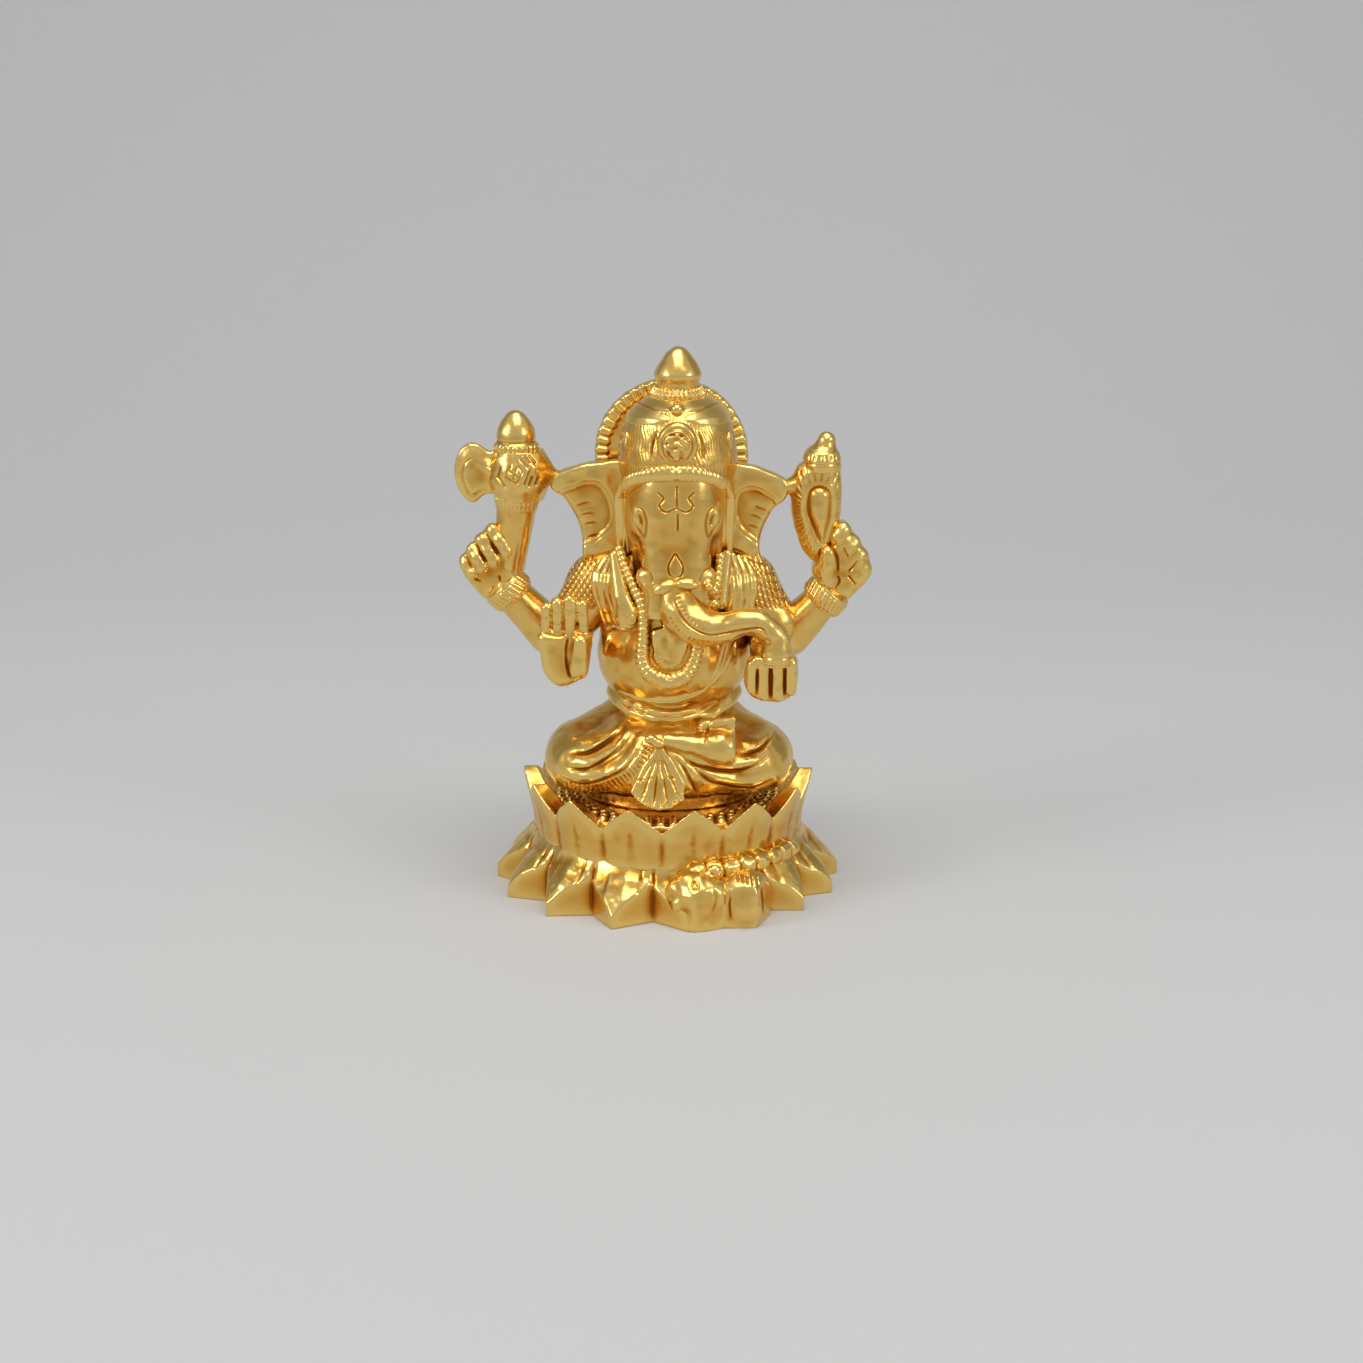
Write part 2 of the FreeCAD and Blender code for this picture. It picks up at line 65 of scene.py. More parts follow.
HEAD_X = 1.3
FACE_X = 1.1
BODY_X = 0.8
CROWN_AXIS = (HEAD_X, -1.4)
AXE_X = -18.1
SKIRT_PETALS, SKIRT_PHASE, SKIRT_TIP, SKIRT_VALLEY = 16, 1.3, 20.8, 17.3
BOWL_PETALS, BOWL_PHASE, BOWL_RIM = 14, 10.8, 14.3
SEAT_TOP = 11.0
TENON, SOCKET = 3.5, 3.65  # half their widths
HALO = (0.5, 3.0, 53.0)
NAPE_Y = 3.2  # the head and the crown end inside the halo's disc
FINE, MEDIUM, BROAD = 0.12, 0.15, 0.18  # grid spacings for small, middling and large pieces
HOLLOWS = (0.3, 0.14), (1.2, 0.35)  # how far the hollows are felt for, and how deep a full one is

# ---- the clay ----

Points = namedtuple("Points", "x y z")


class Clay:
    """The grid of points that one piece is sculpted in, round its CAD node's box."""

    def __init__(self, node, spacing, margin):
        low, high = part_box(node)
        self.spacing = spacing * COARSE
        self.low = [c / MM - margin for c in low]
        self.shape = [int((h / MM + margin - l) / self.spacing) + 2 for l, h in zip(self.low, high)]
        axes = [np.arange(n, dtype=np.float32) * self.spacing + l for n, l in zip(self.shape, self.low)]
        self.x = axes[0][:, None, None]
        self.y = axes[1][None, :, None]
        self.z = axes[2][None, None, :]

    def before(self, y, soft=0.8):
        """1 in front of that depth and 0 behind it."""
        return ramp((y - self.y) / soft)


def ramp(t):
    """0 below 0, 1 above 1, smooth between."""
    t = np.clip(t, 0, 1)
    return t * t * (3 - 2 * t)


def bell(value, width):
    """1 where the value is 0, fading to nothing beyond that width."""
    return np.exp(-((value / width) ** 2))


def join(a, b, soft):
    """Both shapes, with a fillet of that size where they meet."""
    h = np.clip(0.5 + 0.5 * (b - a) / soft, 0, 1)
    return b + (a - b) * h - soft * h * (1 - h)


def joined(soft, *shapes):
    """All the shapes, with fillets of that size."""
    whole = shapes[0]
    for shape in shapes[1:]:
        whole = join(whole, shape, soft)
    return whole


def common(a, b, soft=0.1):
    """What both shapes cover, with an edge rounded by that much."""
    return -join(-a, -b, soft)


def turned(p, centre, degrees):
    """The points as seen from centre, with the x-z plane turned anticlockwise seen from the front."""
    c, s = math.cos(math.radians(degrees)), math.sin(math.radians(degrees))
    x, z = p.x - centre[0], p.z - centre[2]
    return Points(x * c + z * s, p.y - centre[1], z * c - x * s)


def ellipsoid(p, centre, radii, degrees=0):
    q = turned(p, centre, degrees)
    x, y, z = q.x / radii[0], q.y / radii[1], q.z / radii[2]
    reach = np.sqrt(x * x + y * y + z * z)
    slope = np.sqrt((x / radii[0]) ** 2 + (y / radii[1]) ** 2 + (z / radii[2]) ** 2)
    return reach * (reach - 1) / np.maximum(slope, 1e-4)


def capsule(p, start, start_radius, end, end_radius):
    ax, ay, az = start
    bx, by, bz = (e - s for s, e in zip(start, end))
    x, y, z = p.x - ax, p.y - ay, p.z - az
    h = np.clip((x * bx + y * by + z * bz) / (bx * bx + by * by + bz * bz), 0, 1)
    away = np.sqrt((x - h * bx) ** 2 + (y - h * by) ** 2 + (z - h * bz) ** 2)
    return away - (start_radius + (end_radius - start_radius) * h)


def slab(value, middle, half):
    """The stretch of one axis round its middle."""
    return np.abs(value - middle) - half


def box(p, low, high, radius):
    """A box with rounded edges."""
    middle = [(l + h) / 2 for l, h in zip(low, high)]
    half = [(h - l) / 2 - radius for l, h in zip(low, high)]
    x, y, z = (slab(v, m, s) for v, m, s in zip((p.x, p.y, p.z), middle, half))
    outside = np.sqrt(np.maximum(x, 0) ** 2 + np.maximum(y, 0) ** 2 + np.maximum(z, 0) ** 2)
    return outside + np.minimum(np.maximum(np.maximum(x, y), z), 0) - radius


def smooth_path(stations, steps=5, closed=False):
    """A Catmull-Rom curve through the stations, as an array of rows."""
    s = np.array(stations, dtype=float)
    if closed:
        s = np.vstack([s[-1], s, s[:2]])
    else:
        s = np.vstack([2 * s[0] - s[1], s, 2 * s[-1] - s[-2]])
    rows = []
    for a, b, c, d in zip(s, s[1:], s[2:], s[3:]):
        for t in np.arange(steps) / steps:
            curve = 2 * b + (c - a) * t + (2 * a - 5 * b + 4 * c - d) * t**2 + (3 * b - a - 3 * c + d) * t**3
            rows.append(curve / 2)
    if not closed:
        rows.append(s[-2])
    return np.array(rows)


def follow(path, stretch):
    """The distance to a path, and the length along it to the nearest place, stretch by stretch."""
    nearest, along, run = np.inf, 0.0, 0.0
    for a, b in zip(path[:-1], path[1:]):
        away, share, length = stretch(a, b)
        along = np.where(away < nearest, run + share * length, along)
        nearest = np.minimum(nearest, away)
        run += length
    return nearest, along


def tube(p, stations, steps=4):
    """The distance to a tube through (x, y, z, radius) stations, and the length along it."""

    def stretch(a, b):
        span = b[:3] - a[:3]
        length = float(np.linalg.norm(span))
        x, y, z = p.x - a[0], p.y - a[1], p.z - a[2]
        h = np.clip((x * span[0] + y * span[1] + z * span[2]) / length**2, 0, 1)
        away = np.sqrt((x - h * span[0]) ** 2 + (y - h * span[1]) ** 2 + (z - h * span[2]) ** 2)
        return away - (a[3] + (b[3] - a[3]) * h), h, length

    return follow(smooth_path(stations, steps), stretch)


def outline(u, v, corners):
    """The signed distance, negative inside, to a closed polygon in a plane."""
    squared, side = None, None
    for (ax, av), (bx, bv) in zip(corners, np.roll(corners, -1, axis=0)):
        ex, ev = bx - ax, bv - av
        wx, wv = u - ax, v - av
        h = np.clip((wx * ex + wv * ev) / (ex * ex + ev * ev), 0, 1)
        reach = (wx - ex * h) ** 2 + (wv - ev * h) ** 2
        crosses = ((v >= av) != (v >= bv)) & (((ex * wv - ev * wx) > 0) == (ev > 0))
        flip = np.where(crosses, -1.0, 1.0)
        squared = reach if squared is None else np.minimum(squared, reach)
        side = flip if side is None else side * flip
    return np.sqrt(squared) * side


def shadow(c, corners, smooth=True):
    """The outline of a piece as seen from the front, through (x, z) corners, spread along y."""
    shape = smooth_path(corners, closed=True) if smooth else np.array(corners, dtype=float)
    return outline(c.x[:, 0], c.z[0], shape)[:, None, :]


def plate(c, corners, front, back, radius):
    """A plate with rounded edges, of that outline, between two depths."""
    flat = shadow(c, corners) + radius
    deep = slab(c.y, (front + back) / 2, (back - front) / 2 - radius)
    outside = np.sqrt(np.maximum(flat, 0) ** 2 + np.maximum(deep, 0) ** 2)
    return outside + np.minimum(np.maximum(flat, deep), 0) - radius


def spun(c, axis, profile):
    """A shape turned about a vertical axis at (x, y), from (radius, z) points."""
    half = np.array(profile, dtype=float)
    whole = np.vstack([half, half[-2:0:-1] * (-1, 1)])
    radius = np.hypot(c.x - axis[0], c.y - axis[1])[:, :, 0]
    step = c.spacing / 2
    rings = np.arange(0, radius.max() + 2 * step, step)
    table = outline(rings[:, None], c.z[0], whole).astype(np.float32)
    inner = (radius / step).astype(int)
    part = (radius / step - inner)[:, :, None]
    return table[inner] * (1 - part) + table[inner + 1] * part


def turn_about(c, axis):
    """The angle about a vertical axis at (x, y), 0 at the front."""
    return np.arctan2(c.x - axis[0], axis[1] - c.y)


def stroke(c, points, smooth=True):
    """The distance from a line drawn on the front, through (x, z) points, and the length along it."""
    u, v = c.x[:, 0], c.z[0]

    def stretch(a, b):
        ex, ev = b - a
        length = math.hypot(ex, ev)
        h = np.clip(((u - a[0]) * ex + (v - a[1]) * ev) / length**2, 0, 1)
        return np.hypot(u - a[0] - h * ex, v - a[1] - h * ev), h, length

    away, along = follow(smooth_path(points) if smooth else np.array(points, dtype=float), stretch)
    return away[:, None, :], along[:, None, :]


def groove(c, points, width, depth, smooth=True, taper=0.0):
    """An engraved line, fading over the taper's share of its length at each end."""
    away, along = stroke(c, points, smooth)
    line = depth * bell(away, width)
    if taper:
        share = along / along.max()
        line = line * ramp(share / taper) * ramp((1 - share) / taper)
    return line


def grooves(c, lines, width, depth, smooth=True, taper=0.0):
    """Engraved lines, each no deeper where two meet."""
    cut = 0
    for points in lines:
        cut = np.maximum(cut, groove(c, points, width, 1.0, smooth, taper))
    return depth * cut


def notches(length, pitch, share=0.22):
    """1 in the middle of a cut that repeats every pitch, 0 between the cuts."""
    return bell((length / pitch) % 1 - 0.5, share)


def spokes(turn, count, share=0.22):
    """Cuts that repeat that many times round a whole turn."""
    return notches(turn, 2 * math.pi / count, share)


def ticks(c, points, pitch, reach, depth, share=0.22):
    """Short cuts across a path, as far as reach to each side."""
    away, along = stroke(c, points)
    return depth * notches(along, pitch, share) * ramp((reach - away) / 0.25)


def hatch(c, degrees, pitch):
    """Parallel cuts over the front, leaning that far from the vertical."""
    a = math.radians(degrees)
    return notches(c.x * math.cos(a) + c.z * math.sin(a), pitch, 0.18)


def lumps(c, size, seed):
    """Smooth random values between -1 and 1, with swells of that size."""
    counts = [int(n * c.spacing / size) + 3 for n in c.shape]
    values = np.random.default_rng(seed).uniform(-1, 1, counts).astype(np.float32)
    for axis, n in enumerate(c.shape):
        place = np.arange(n) * c.spacing / size
        low = place.astype(int)
        part = ramp(place - low).astype(np.float32).reshape([n if k == axis else 1 for k in range(3)])
        values = np.take(values, low, axis) * (1 - part) + np.take(values, low + 1, axis) * part
    return values


def petal_place(c, count, phase):
    """Radius, and the place across the nearest petal: 0 at its middle, -1 and 1 at its sides."""
    radius = np.hypot(c.x, c.y)
    turn = np.degrees(np.arctan2(c.x, -c.y))
    across = (((turn - phase) / (360 / count) + 0.5) % 1 - 0.5) * 2
    return radius, across


SCULPTS = {}  # for each CAD node: its sculpt, and the spacing and the margin of its grid


def sculpts(spacing, margin=1.2, sides=()):
    """Marks the function that sculpts the CAD node of its name, or that node's right and left ones."""

    def enrol(shape):
        for side in sides:
            node = shape.__name__ + ("_right" if side < 0 else "_left")
            SCULPTS[node] = (partial(shape, side=side), spacing, margin)
        if not sides:
            SCULPTS[shape.__name__] = (shape, spacing, margin)
        return shape

    return enrol


# ---- pedestal ----


@sculpts(BROAD, 1.6)
def lotus_skirt(c):
    p = Points(c.x / 1.03, c.y / 0.98, c.z)
    turn = np.arctan2(c.x, -c.y) - math.radians(22)
    uneven = 5.8 * np.cos(turn).clip(0) ** 2
    radius, across = petal_place(p, SKIRT_PETALS, SKIRT_PHASE + uneven)
    half = math.pi / SKIRT_PETALS
    side = np.abs(across) * half
    edge = SKIRT_TIP * SKIRT_VALLEY * math.sin(half)
    edge = edge / (SKIRT_TIP * np.sin(side) + SKIRT_VALLEY * np.sin(half - side))
    top = np.interp(radius, [15.0, 16.2, 17.1, 18.2, 19.5, 21.0], [7.3, 7.0, 5.3, 3.9, 2.6, 1.3])
    swell = ramp((radius - 16.2) / 1.5) * ramp((21.2 - radius) / 2.2)
    crest = 0.8 * (1 - np.abs(across - 0.15)).clip(0) - 0.25 * ramp((-0.35 - across) / 0.1)
    seams = 0.5 * bell(1 - np.abs(across), 0.08)
    seams += 0.26 * bell(across - 0.62, 0.05)
    top = top + swell * crest - seams * ramp((radius - 16.0) / 0.8)
    chased = 0.04 * lumps(c, 0.5, 3) + 0.06 * lumps(c, 1.4, 4)
    d = common((radius - edge) * 0.72, (c.z - top) * 0.72 + chased, 0.12)
    return common(d, -c.z, 0.1)


@sculpts(BROAD * 0.9)
def lotus_bowl(c):
    radius, across = petal_place(c, BOWL_PETALS, BOWL_PHASE)
    away = np.abs(across)
    outer = np.interp(c.z, [6.2, 9.4, 12.0, 14.7], [16.3, 16.7, 17.3, 17.9]) + 0.3 * (1 - across**2) - 0.15
    inner = np.interp(c.z, [6.0, 11.1, 14.7], [13.9, 14.0, 16.4])
    middle = bell(away, 0.07 + 0.03 * (11.4 - c.z).clip(0, 4)) * ramp((11.6 - c.z) / 1.2)
    between = bell(1 - away, 0.13)
    channels = np.maximum(middle, between) * (0.13 + 0.04 * lumps(c, 0.5, 5))
    wall = common(radius - outer + channels, inner - radius + 0.1 * lumps(c, 0.7, 7), 0.15)
    slant = 0.6 * ramp((-c.y - 5) / 5)
    top = BOWL_RIM - 1.4 * ramp(c.y / 9) - 3.1 * away**1.08 - slant * (outer - radius)
    d = common(wall, (c.z - top) * 0.7, 0.15)
    return common(d, 6.3 - c.z, 0.05) + 0.06 * lumps(c, 1.3, 9)


@sculpts(BROAD)
def lotus_seat(c):
    radius = np.hypot(c.x, c.y)
    d = common(radius - 14.1, c.z - SEAT_TOP + 0.05 * lumps(c, 0.8, 6), 0.1)
    turn = np.arctan2(c.x, -c.y)
    for ring, count in ((12.4, 52), (13.4, 56), (11.3, 46)):
        off = ((turn / (2 * math.pi / count)) % 1 - 0.5) * (2 * math.pi / count)
        beside = np.hypot(radius * np.cos(off) - ring, radius * np.sin(off))
        bead = np.hypot(beside, c.z - SEAT_TOP)
        d = join(d, bead - 0.52, 0.12)
    socket = box(c, (-SOCKET, -SOCKET, 0), (SOCKET, SOCKET, 20), 0.1)
    return common(common(d, -socket, 0.1), 6.35 - c.z, 0.1)


def faceted(c, plan, dome):
    """A carved block of that plan, through (x, y) corners, under a dome."""
    sides = outline(c.x[:, :, 0], c.y[:, :, 0], np.array(plan, dtype=float))[:, :, None]
    return common(common(sides, dome, 0.7), -c.z, 0.1)


@sculpts(FINE)
def mouse_body(c):
    dome = ellipsoid(c, (9.0, -15.8, 1.4), (4.8, 4.3, 4.9))
    d = faceted(c, [(6.0, -19.0), (10.7, -18.8), (12.6, -13.8), (6.4, -13.4)], dome)
    thigh = ellipsoid(c, (9.2, -17.8, 2.3), (2.1, 1.7, 2.2))
    d = join(d, thigh, 0.5)
    fur = [[(8.2 + 0.6 * k, 6.3 - 0.1 * k), (8.5 + 0.6 * k, 5.5 - 0.2 * k)] for k in range(5)]
    lines = [[(11.1, 5.2), (11.4, 3.0), (11.5, 0.6)], [(7.6, 4.6), (7.4, 2.8), (7.6, 0.8)]]
    return d + grooves(c, fur + lines, 0.13, 0.16, taper=0.3) + 0.07 * lumps(c, 0.9, 10)


@sculpts(FINE, 2.2)
def mouse_head(c):
    dome = ellipsoid(c, (3.6, -16.6, 1.9), (4.7, 4.2, 4.9))
    d = faceted(c, [(-0.5, -17.7), (3.2, -20.6), (7.1, -18.9), (7.2, -15.0), (0.4, -14.6)], dome)
    cheek = ellipsoid(c, (5.0, -18.1, 3.9), (1.8, 1.5, 1.6))
    snout = capsule(c, (3.6, -18.6, 4.2), 1.4, (1.4, -18.7, 3.0), 0.9)
    d = joined(0.6, d, cheek, snout)
    lines = [
        [(2.4, 6.4), (3.3, 6.9), (4.4, 6.9)],
        [(5.0, 5.6), (5.8, 4.4), (5.6, 2.9), (4.9, 1.9)],
        [(0.8, 2.6), (1.6, 2.1), (2.6, 2.2)],
    ]
    d = d + grooves(c, lines, 0.16, 0.14, taper=0.4)
    eye = np.hypot(c.x - 3.3, c.z - 5.5)
    d = d + 0.14 * bell(eye - 0.45, 0.14) - 0.14 * bell(eye, 0.24)
    return d + 0.12 * lumps(c, 0.9, 14)


@sculpts(FINE)
def mouse_ear(c):
    d = ellipsoid(c, (5.3, -17.2, 6.3), (0.9, 0.8, 1.3), -50)
    return d + groove(c, [(4.7, 6.9), (5.4, 6.3), (6.0, 5.8)], 0.2, 0.25)


@sculpts(FINE, 1.8)
def mouse_tail(c):
    turns = np.radians([62, 50, 38, 26, 12])
    path = [(16.9 * math.sin(t), -16.9 * math.cos(t), 6.3, 1.15) for t in turns]
    d, along = tube(c, path)
    return d + 0.36 * notches(along, 2.1, 0.07) + 0.22 * lumps(c, 1.0, 8)


# ---- legs and body ----


@sculpts(FINE)
def seat_tenon(c):
    return box(c, (-TENON, -TENON, 6.7), (TENON, TENON, 11.3), 0.2)


@sculpts(BROAD)
def seat_plinth(c):
    d = (np.hypot(c.x / 10.4, (c.y - 0.6) / 8.6) - 1) * 8.8
    return common(d, slab(c.z, 12.2, 1.2), 0.2)


@sculpts(MEDIUM)
def crossed_legs(c):
    lap = ellipsoid(c, (0.3, -3.2, 17.2), (11.6, 9.0, 6.0))
    hips = ellipsoid(c, (0.7, 1.0, 18.4), (9.6, 8.8, 6.6))
    knees = []
    for side in (-1, 1):
        p = Points((c.x - 0.2) * side, c.y, c.z)
        knees.append(ellipsoid(p, (9.2, -3.2, 16.5), (5.9, 7.4, 4.4)))
        knees.append(capsule(p, (5.0, 0.0, 19.2), 4.2, (10.8, -3.0, 16.9), 4.1))
        knees.append(capsule(p, (11.0, -5.2, 16.6), 3.4, (1.6, -9.4, 16.4), 3.2))
    d = joined(1.0, lap, hips, *knees)
    front = c.before(-2.0, 3.0)
    folds = [
        [(-2.4, 21.9), (-3.4, 19.9), (-4.9, 17.7), (-6.9, 16.3), (-9.0, 15.4), (-11.1, 15.2), (-14.0, 16.2)],
        [(-3.9, 22.0), (-5.3, 20.2), (-6.9, 18.7), (-8.5, 17.7), (-10.2, 17.0), (-13.0, 17.1)],
        [(-5.0, 21.8), (-6.9, 20.4), (-8.3, 19.5), (-9.9, 18.8), (-12.2, 18.5)],
        [(0.2, 20.4), (3.0, 18.3), (4.6, 17.7), (6.4, 17.2), (8.5, 17.0), (10.7, 17.7), (13.6, 19.2)],
        [(2.2, 19.0), (4.7, 16.3), (6.4, 15.4), (8.5, 14.7), (10.9, 14.8), (14.0, 15.9)],
        [(8.6, 18.7), (11.0, 19.1), (13.4, 20.6)],
        [(0.8, 19.3), (2.2, 17.5), (3.4, 14.8), (3.6, 13.6)],
    ]
    d = d + 0.32 * front * grooves(c, folds, 0.22, 1.0, taper=0.3)
    swells = [[(x + 0.4, z + 0.8) for x, z in fold] for fold in folds[:6]]
    d = d - front * grooves(c, swells, 0.75, 0.5, taper=0.4)
    border = [(-2.0, 20.6), (-3.1, 18.4), (-4.9, 16.5), (-6.9, 15.1), (-9.0, 14.4), (-12.5, 14.6)]
    d = d + front * ticks(c, border, 0.55, 0.75, 0.16, 0.13)
    d = d + 0.11 * lumps(c, 1.8, 11) + 0.06 * lumps(c, 0.8, 15)
    return common(d, 12.95 - c.z, 0.5)


@sculpts(FINE)
def dhoti_pleats(c):
    fan = [(-0.9, 20.8), (-2.8, 18.3), (-4.4, 15.1), (-3.8, 14.2), (-2.5, 13.3)]
    fan = fan + [(-0.9, 12.9), (0.6, 13.2), (2.1, 14.1), (2.1, 16.2), (0.6, 18.9)]
    face = -13.8 + 0.27 * (c.z - 13.0) - c.y
    feet = ((-4.1, 15.0), (-3.2, 14.0), (-1.6, 13.2), (0.2, 13.1), (1.5, 14.4))
    folds = [[(-0.9, 19.9), foot] for foot in feet]
    bars = [[(-3.6, 16.4), (-2.8, 16.5)], [(-2.2, 16.7), (-1.6, 16.7)], [(0.3, 16.8), (0.9, 16.7)]]
    face = face + grooves(c, folds, 0.16, 0.18, smooth=False, taper=0.2) + 0.1 * lumps(c, 0.8, 20)
    face = face + grooves(c, bars, 0.12, 0.12, smooth=False)
    rim = [(-4.1, 14.9), (-2.6, 14.0), (-0.9, 13.6), (0.7, 13.8), (2.0, 14.7)]
    face = face + ticks(c, rim, 0.5, 0.5, 0.14)
    d = common(common(shadow(c, fan, smooth=False), face, 0.35), c.y + 9.7, 0.1)
    knots = [ellipsoid(c, place, (0.8, 0.6, 0.6)) for place in ((-1.9, -11.6, 21.2), (-1.0, -11.7, 20.7))]
    return joined(0.3, d, *knots)


@sculpts(FINE)
def resting_foot(c):
    shin = capsule(c, (-0.3, -11.2, 21.0), 0.8, (5.6, -11.0, 19.9), 1.8)
    heel = ellipsoid(c, (6.8, -11.0, 19.9), (2.3, 1.9, 2.2))
    toes = []
    for k in range(4):
        z = 23.5 - 0.72 * k
        toes.append(capsule(c, (4.6 - 0.2 * k, -9.7, z - 1.2), 0.9, (8.4, -10.9, z), 0.46))
    d = joined(0.7, joined(1.2, shin, heel), joined(0.08, *toes))
    d = common(d, c.x - 8.2, 0.5)
    ankle = groove(c, [(5.2, 23.6), (4.9, 22.2), (4.2, 20.8)], 0.16, 0.14, taper=0.2)
    return d + ankle + 0.08 * lumps(c, 0.9, 22)


@sculpts(MEDIUM)
def torso(c):
    belly = ellipsoid(c, (BODY_X, -1.2, 29.2), (9.3, 7.8, 7.7))
    chest = ellipsoid(c, (BODY_X, 0.3, 35.2), (9.2, 6.2, 7.4))
    breast = ellipsoid(c, (BODY_X, -4.4, 35.4), (5.6, 3.5, 5.0))
    shoulders = capsule(c, (BODY_X - 8, 0.0, 37.6), 3.4, (BODY_X + 8, 0.0, 37.6), 3.4)
    d = joined(2.0, belly, chest, shoulders, breast)
    front = c.before(-1.0, 2.0)
    threads = [[(-6.9, 32.8), (-7.6, 30.8), (-7.7, 28.7)], [(8.2, 32.4), (8.4, 29.9), (8.6, 27.4)]]
    d = d - front * grooves(c, threads, 0.3, 0.25, taper=0.3)
    d = d + 0.08 * lumps(c, 2.4, 12) + 0.05 * lumps(c, 0.9, 13)
    return common(d, 22.6 - c.z, 0.5)


@sculpts(MEDIUM)
def waist_sash(c):
    ring = (np.hypot((c.x - BODY_X) / 8.35, (c.y + 1.0) / 7.6) - 1) * 8.0
    droop = 24.4 - 1.5 * ramp((-1.0 - c.y) / 7.0)
    d = common(ring, slab(c.z, droop, 1.7), 2.4)
    front = c.before(1.0, 2.0)
    folds = [[(-7.6, 25.0), (-4.6, 23.8), (-1.0, 23.0), (2.6, 23.2), (6.6, 24.6)]]
    folds.append([(-3.4, 24.3), (1.2, 23.9), (6.0, 25.4)])
    return d + front * grooves(c, folds, 0.2, 0.18, taper=0.3) + 0.1 * lumps(c, 1.2, 16)


@sculpts(FINE)
def body_sash(c):
    path = [
        (7.6, -4.6, 34.6, 1.3), (6.8, -5.7, 31.8, 1.35), (6.1, -6.6, 29.2, 1.2),
        (4.6, -7.0, 27.0, 1.0), (2.2, -7.4, 25.5, 0.85), (-0.9, -7.2, 25.0, 0.75),
        (-4.6, -5.3, 25.3, 0.7), (-6.6, -2.8, 26.2, 0.55), (-7.0, -0.4, 27.0, 0.4),
    ]
    d, _ = tube(c, path)
    lines = [[(x + across, z + 0.3 * across) for x, _, z, _ in path[:7]] for across in (-0.45, 0.4)]
    return d + grooves(c, lines, 0.15, 0.14, taper=0.3) + 0.06 * lumps(c, 0.9, 19)


@sculpts(FINE)
def garland(c):
    path = [
        (-5.7, -5.6, 43.0, 0.6), (-5.0, -6.6, 41.0, 0.6), (-4.0, -7.6, 39.0, 0.65),
        (-2.9, -8.4, 36.4, 0.7), (-2.8, -8.6, 33.6, 0.75), (-3.0, -8.9, 30.8, 0.85),
        (-2.2, -9.1, 28.8, 1.05), (0.0, -9.1, 27.7, 1.25), (2.2, -9.1, 28.5, 1.05),
        (3.4, -8.9, 30.6, 0.85), (3.7, -8.6, 33.0, 0.75), (4.8, -8.2, 35.8, 0.7),
        (5.8, -7.4, 38.6, 0.65), (6.4, -6.0, 42.2, 0.6),
    ]
    d, along = tube(c, path)
    return d + 0.13 * notches(along, 0.68, 0.16) + 0.06 * lumps(c, 0.9, 29)


@sculpts(FINE)
def pendant(c):
    drop = [(-1.6, 33.9), (-1.7, 30.8), (-1.0, 29.5), (0.3, 29.0), (1.6, 29.5), (2.3, 30.8), (2.5, 33.9)]
    d = plate(c, drop, -9.2, -6.0, 0.7)
    d = d + groove(c, [(-1.2, 33.0), (-1.1, 30.9), (0.2, 29.9), (1.5, 30.3)], 0.15, 0.12, taper=0.2)
    return d + 0.16 * lumps(c, 0.8, 17)


@sculpts(FINE, 3.6, sides=(-1, 1))
def side_tassel(c, side):
    """The ornament that hangs beside the face, a long drop or two beads, and the scarf's folds behind it."""
    right = side < 0
    p = Points((c.x - 0.9) * side, c.y, c.z)
    if right:
        drop = joined(
            1.0,
            capsule(p, (7.2, -5.8, 42.4), 0.6, (6.3, -7.2, 37.6), 1.25),
            ellipsoid(p, (5.75, -7.5, 35.4), (1.75, 1.4, 2.0), 12),
        )
        ring = np.hypot(p.x - 5.1, p.z - 35.1)
        for size in (0.3, 0.72):
            drop = drop + 0.12 * bell(ring - size, 0.14)
    else:
        beads = [ellipsoid(p, (4.6, -8.2, z), (0.85, 0.8, 0.75)) for z in (38.6, 37.0)]
        drop = joined(0.15, *beads, capsule(p, (6.3, -5.6, 42.4), 0.6, (5.6, -7.0, 36.8), 0.75))
    cloth = []
    for k in range(4):
        top = (6.3 + 0.7 * k, -4.4 + 0.5 * k, 42.2 - 0.3 * k)
        bow = (top[0] + 0.5 + 0.15 * k, top[1] - 1.2, 38.8)
        foot = (top[0] + (-0.5 if right else 0.4), top[1] - 1.8, (34.4 if right else 35.8) - 0.3 * k)
        fold, _ = tube(p, [(*top, 0.35), (*bow, 0.75), (*foot, 0.6)])
        cloth.append(fold)
    cloth = joined(0.3, *cloth) + 0.07 * lumps(c, 0.8, 18)
    return join(drop, cloth, 0.15)


# ---- arms ----


@sculpts(FINE, sides=(-1, 1))
def upper_arm(c, side):
    p = Points((c.x - 0.6) * side, c.y, c.z)
    d = joined(
        1.5,
        capsule(p, (8.6, -0.3, 37.8), 3.7, (12.4, -0.5, 33.0), 3.1),
        capsule(p, (6.0, -1.0, 39.2), 2.4, (9.6, -0.6, 38.0), 2.9),
    )
    sleeve = c.before(0.0, 1.0) * ramp((p.x - 9.0) / 0.6) * ramp((p.z - 35.0) / 0.6)
    if side < 0:
        weave = np.maximum(hatch(c, 38, 0.62), hatch(c, -32, 0.62))
    else:
        weave = np.maximum(hatch(c, 14, 0.6), 0.8 * hatch(c, 70, 0.8))
    return d + 0.2 * weave * sleeve + 0.04 * lumps(c, 1.0, 21)


ELBOWS = {-1: (-14.4, 0.4, 31.4), 1: (14.9, 0.4, 31.2)}
WRISTS = {-1: (-19.6, -0.4, 37.2), 1: (19.6, -0.4, 36.5)}


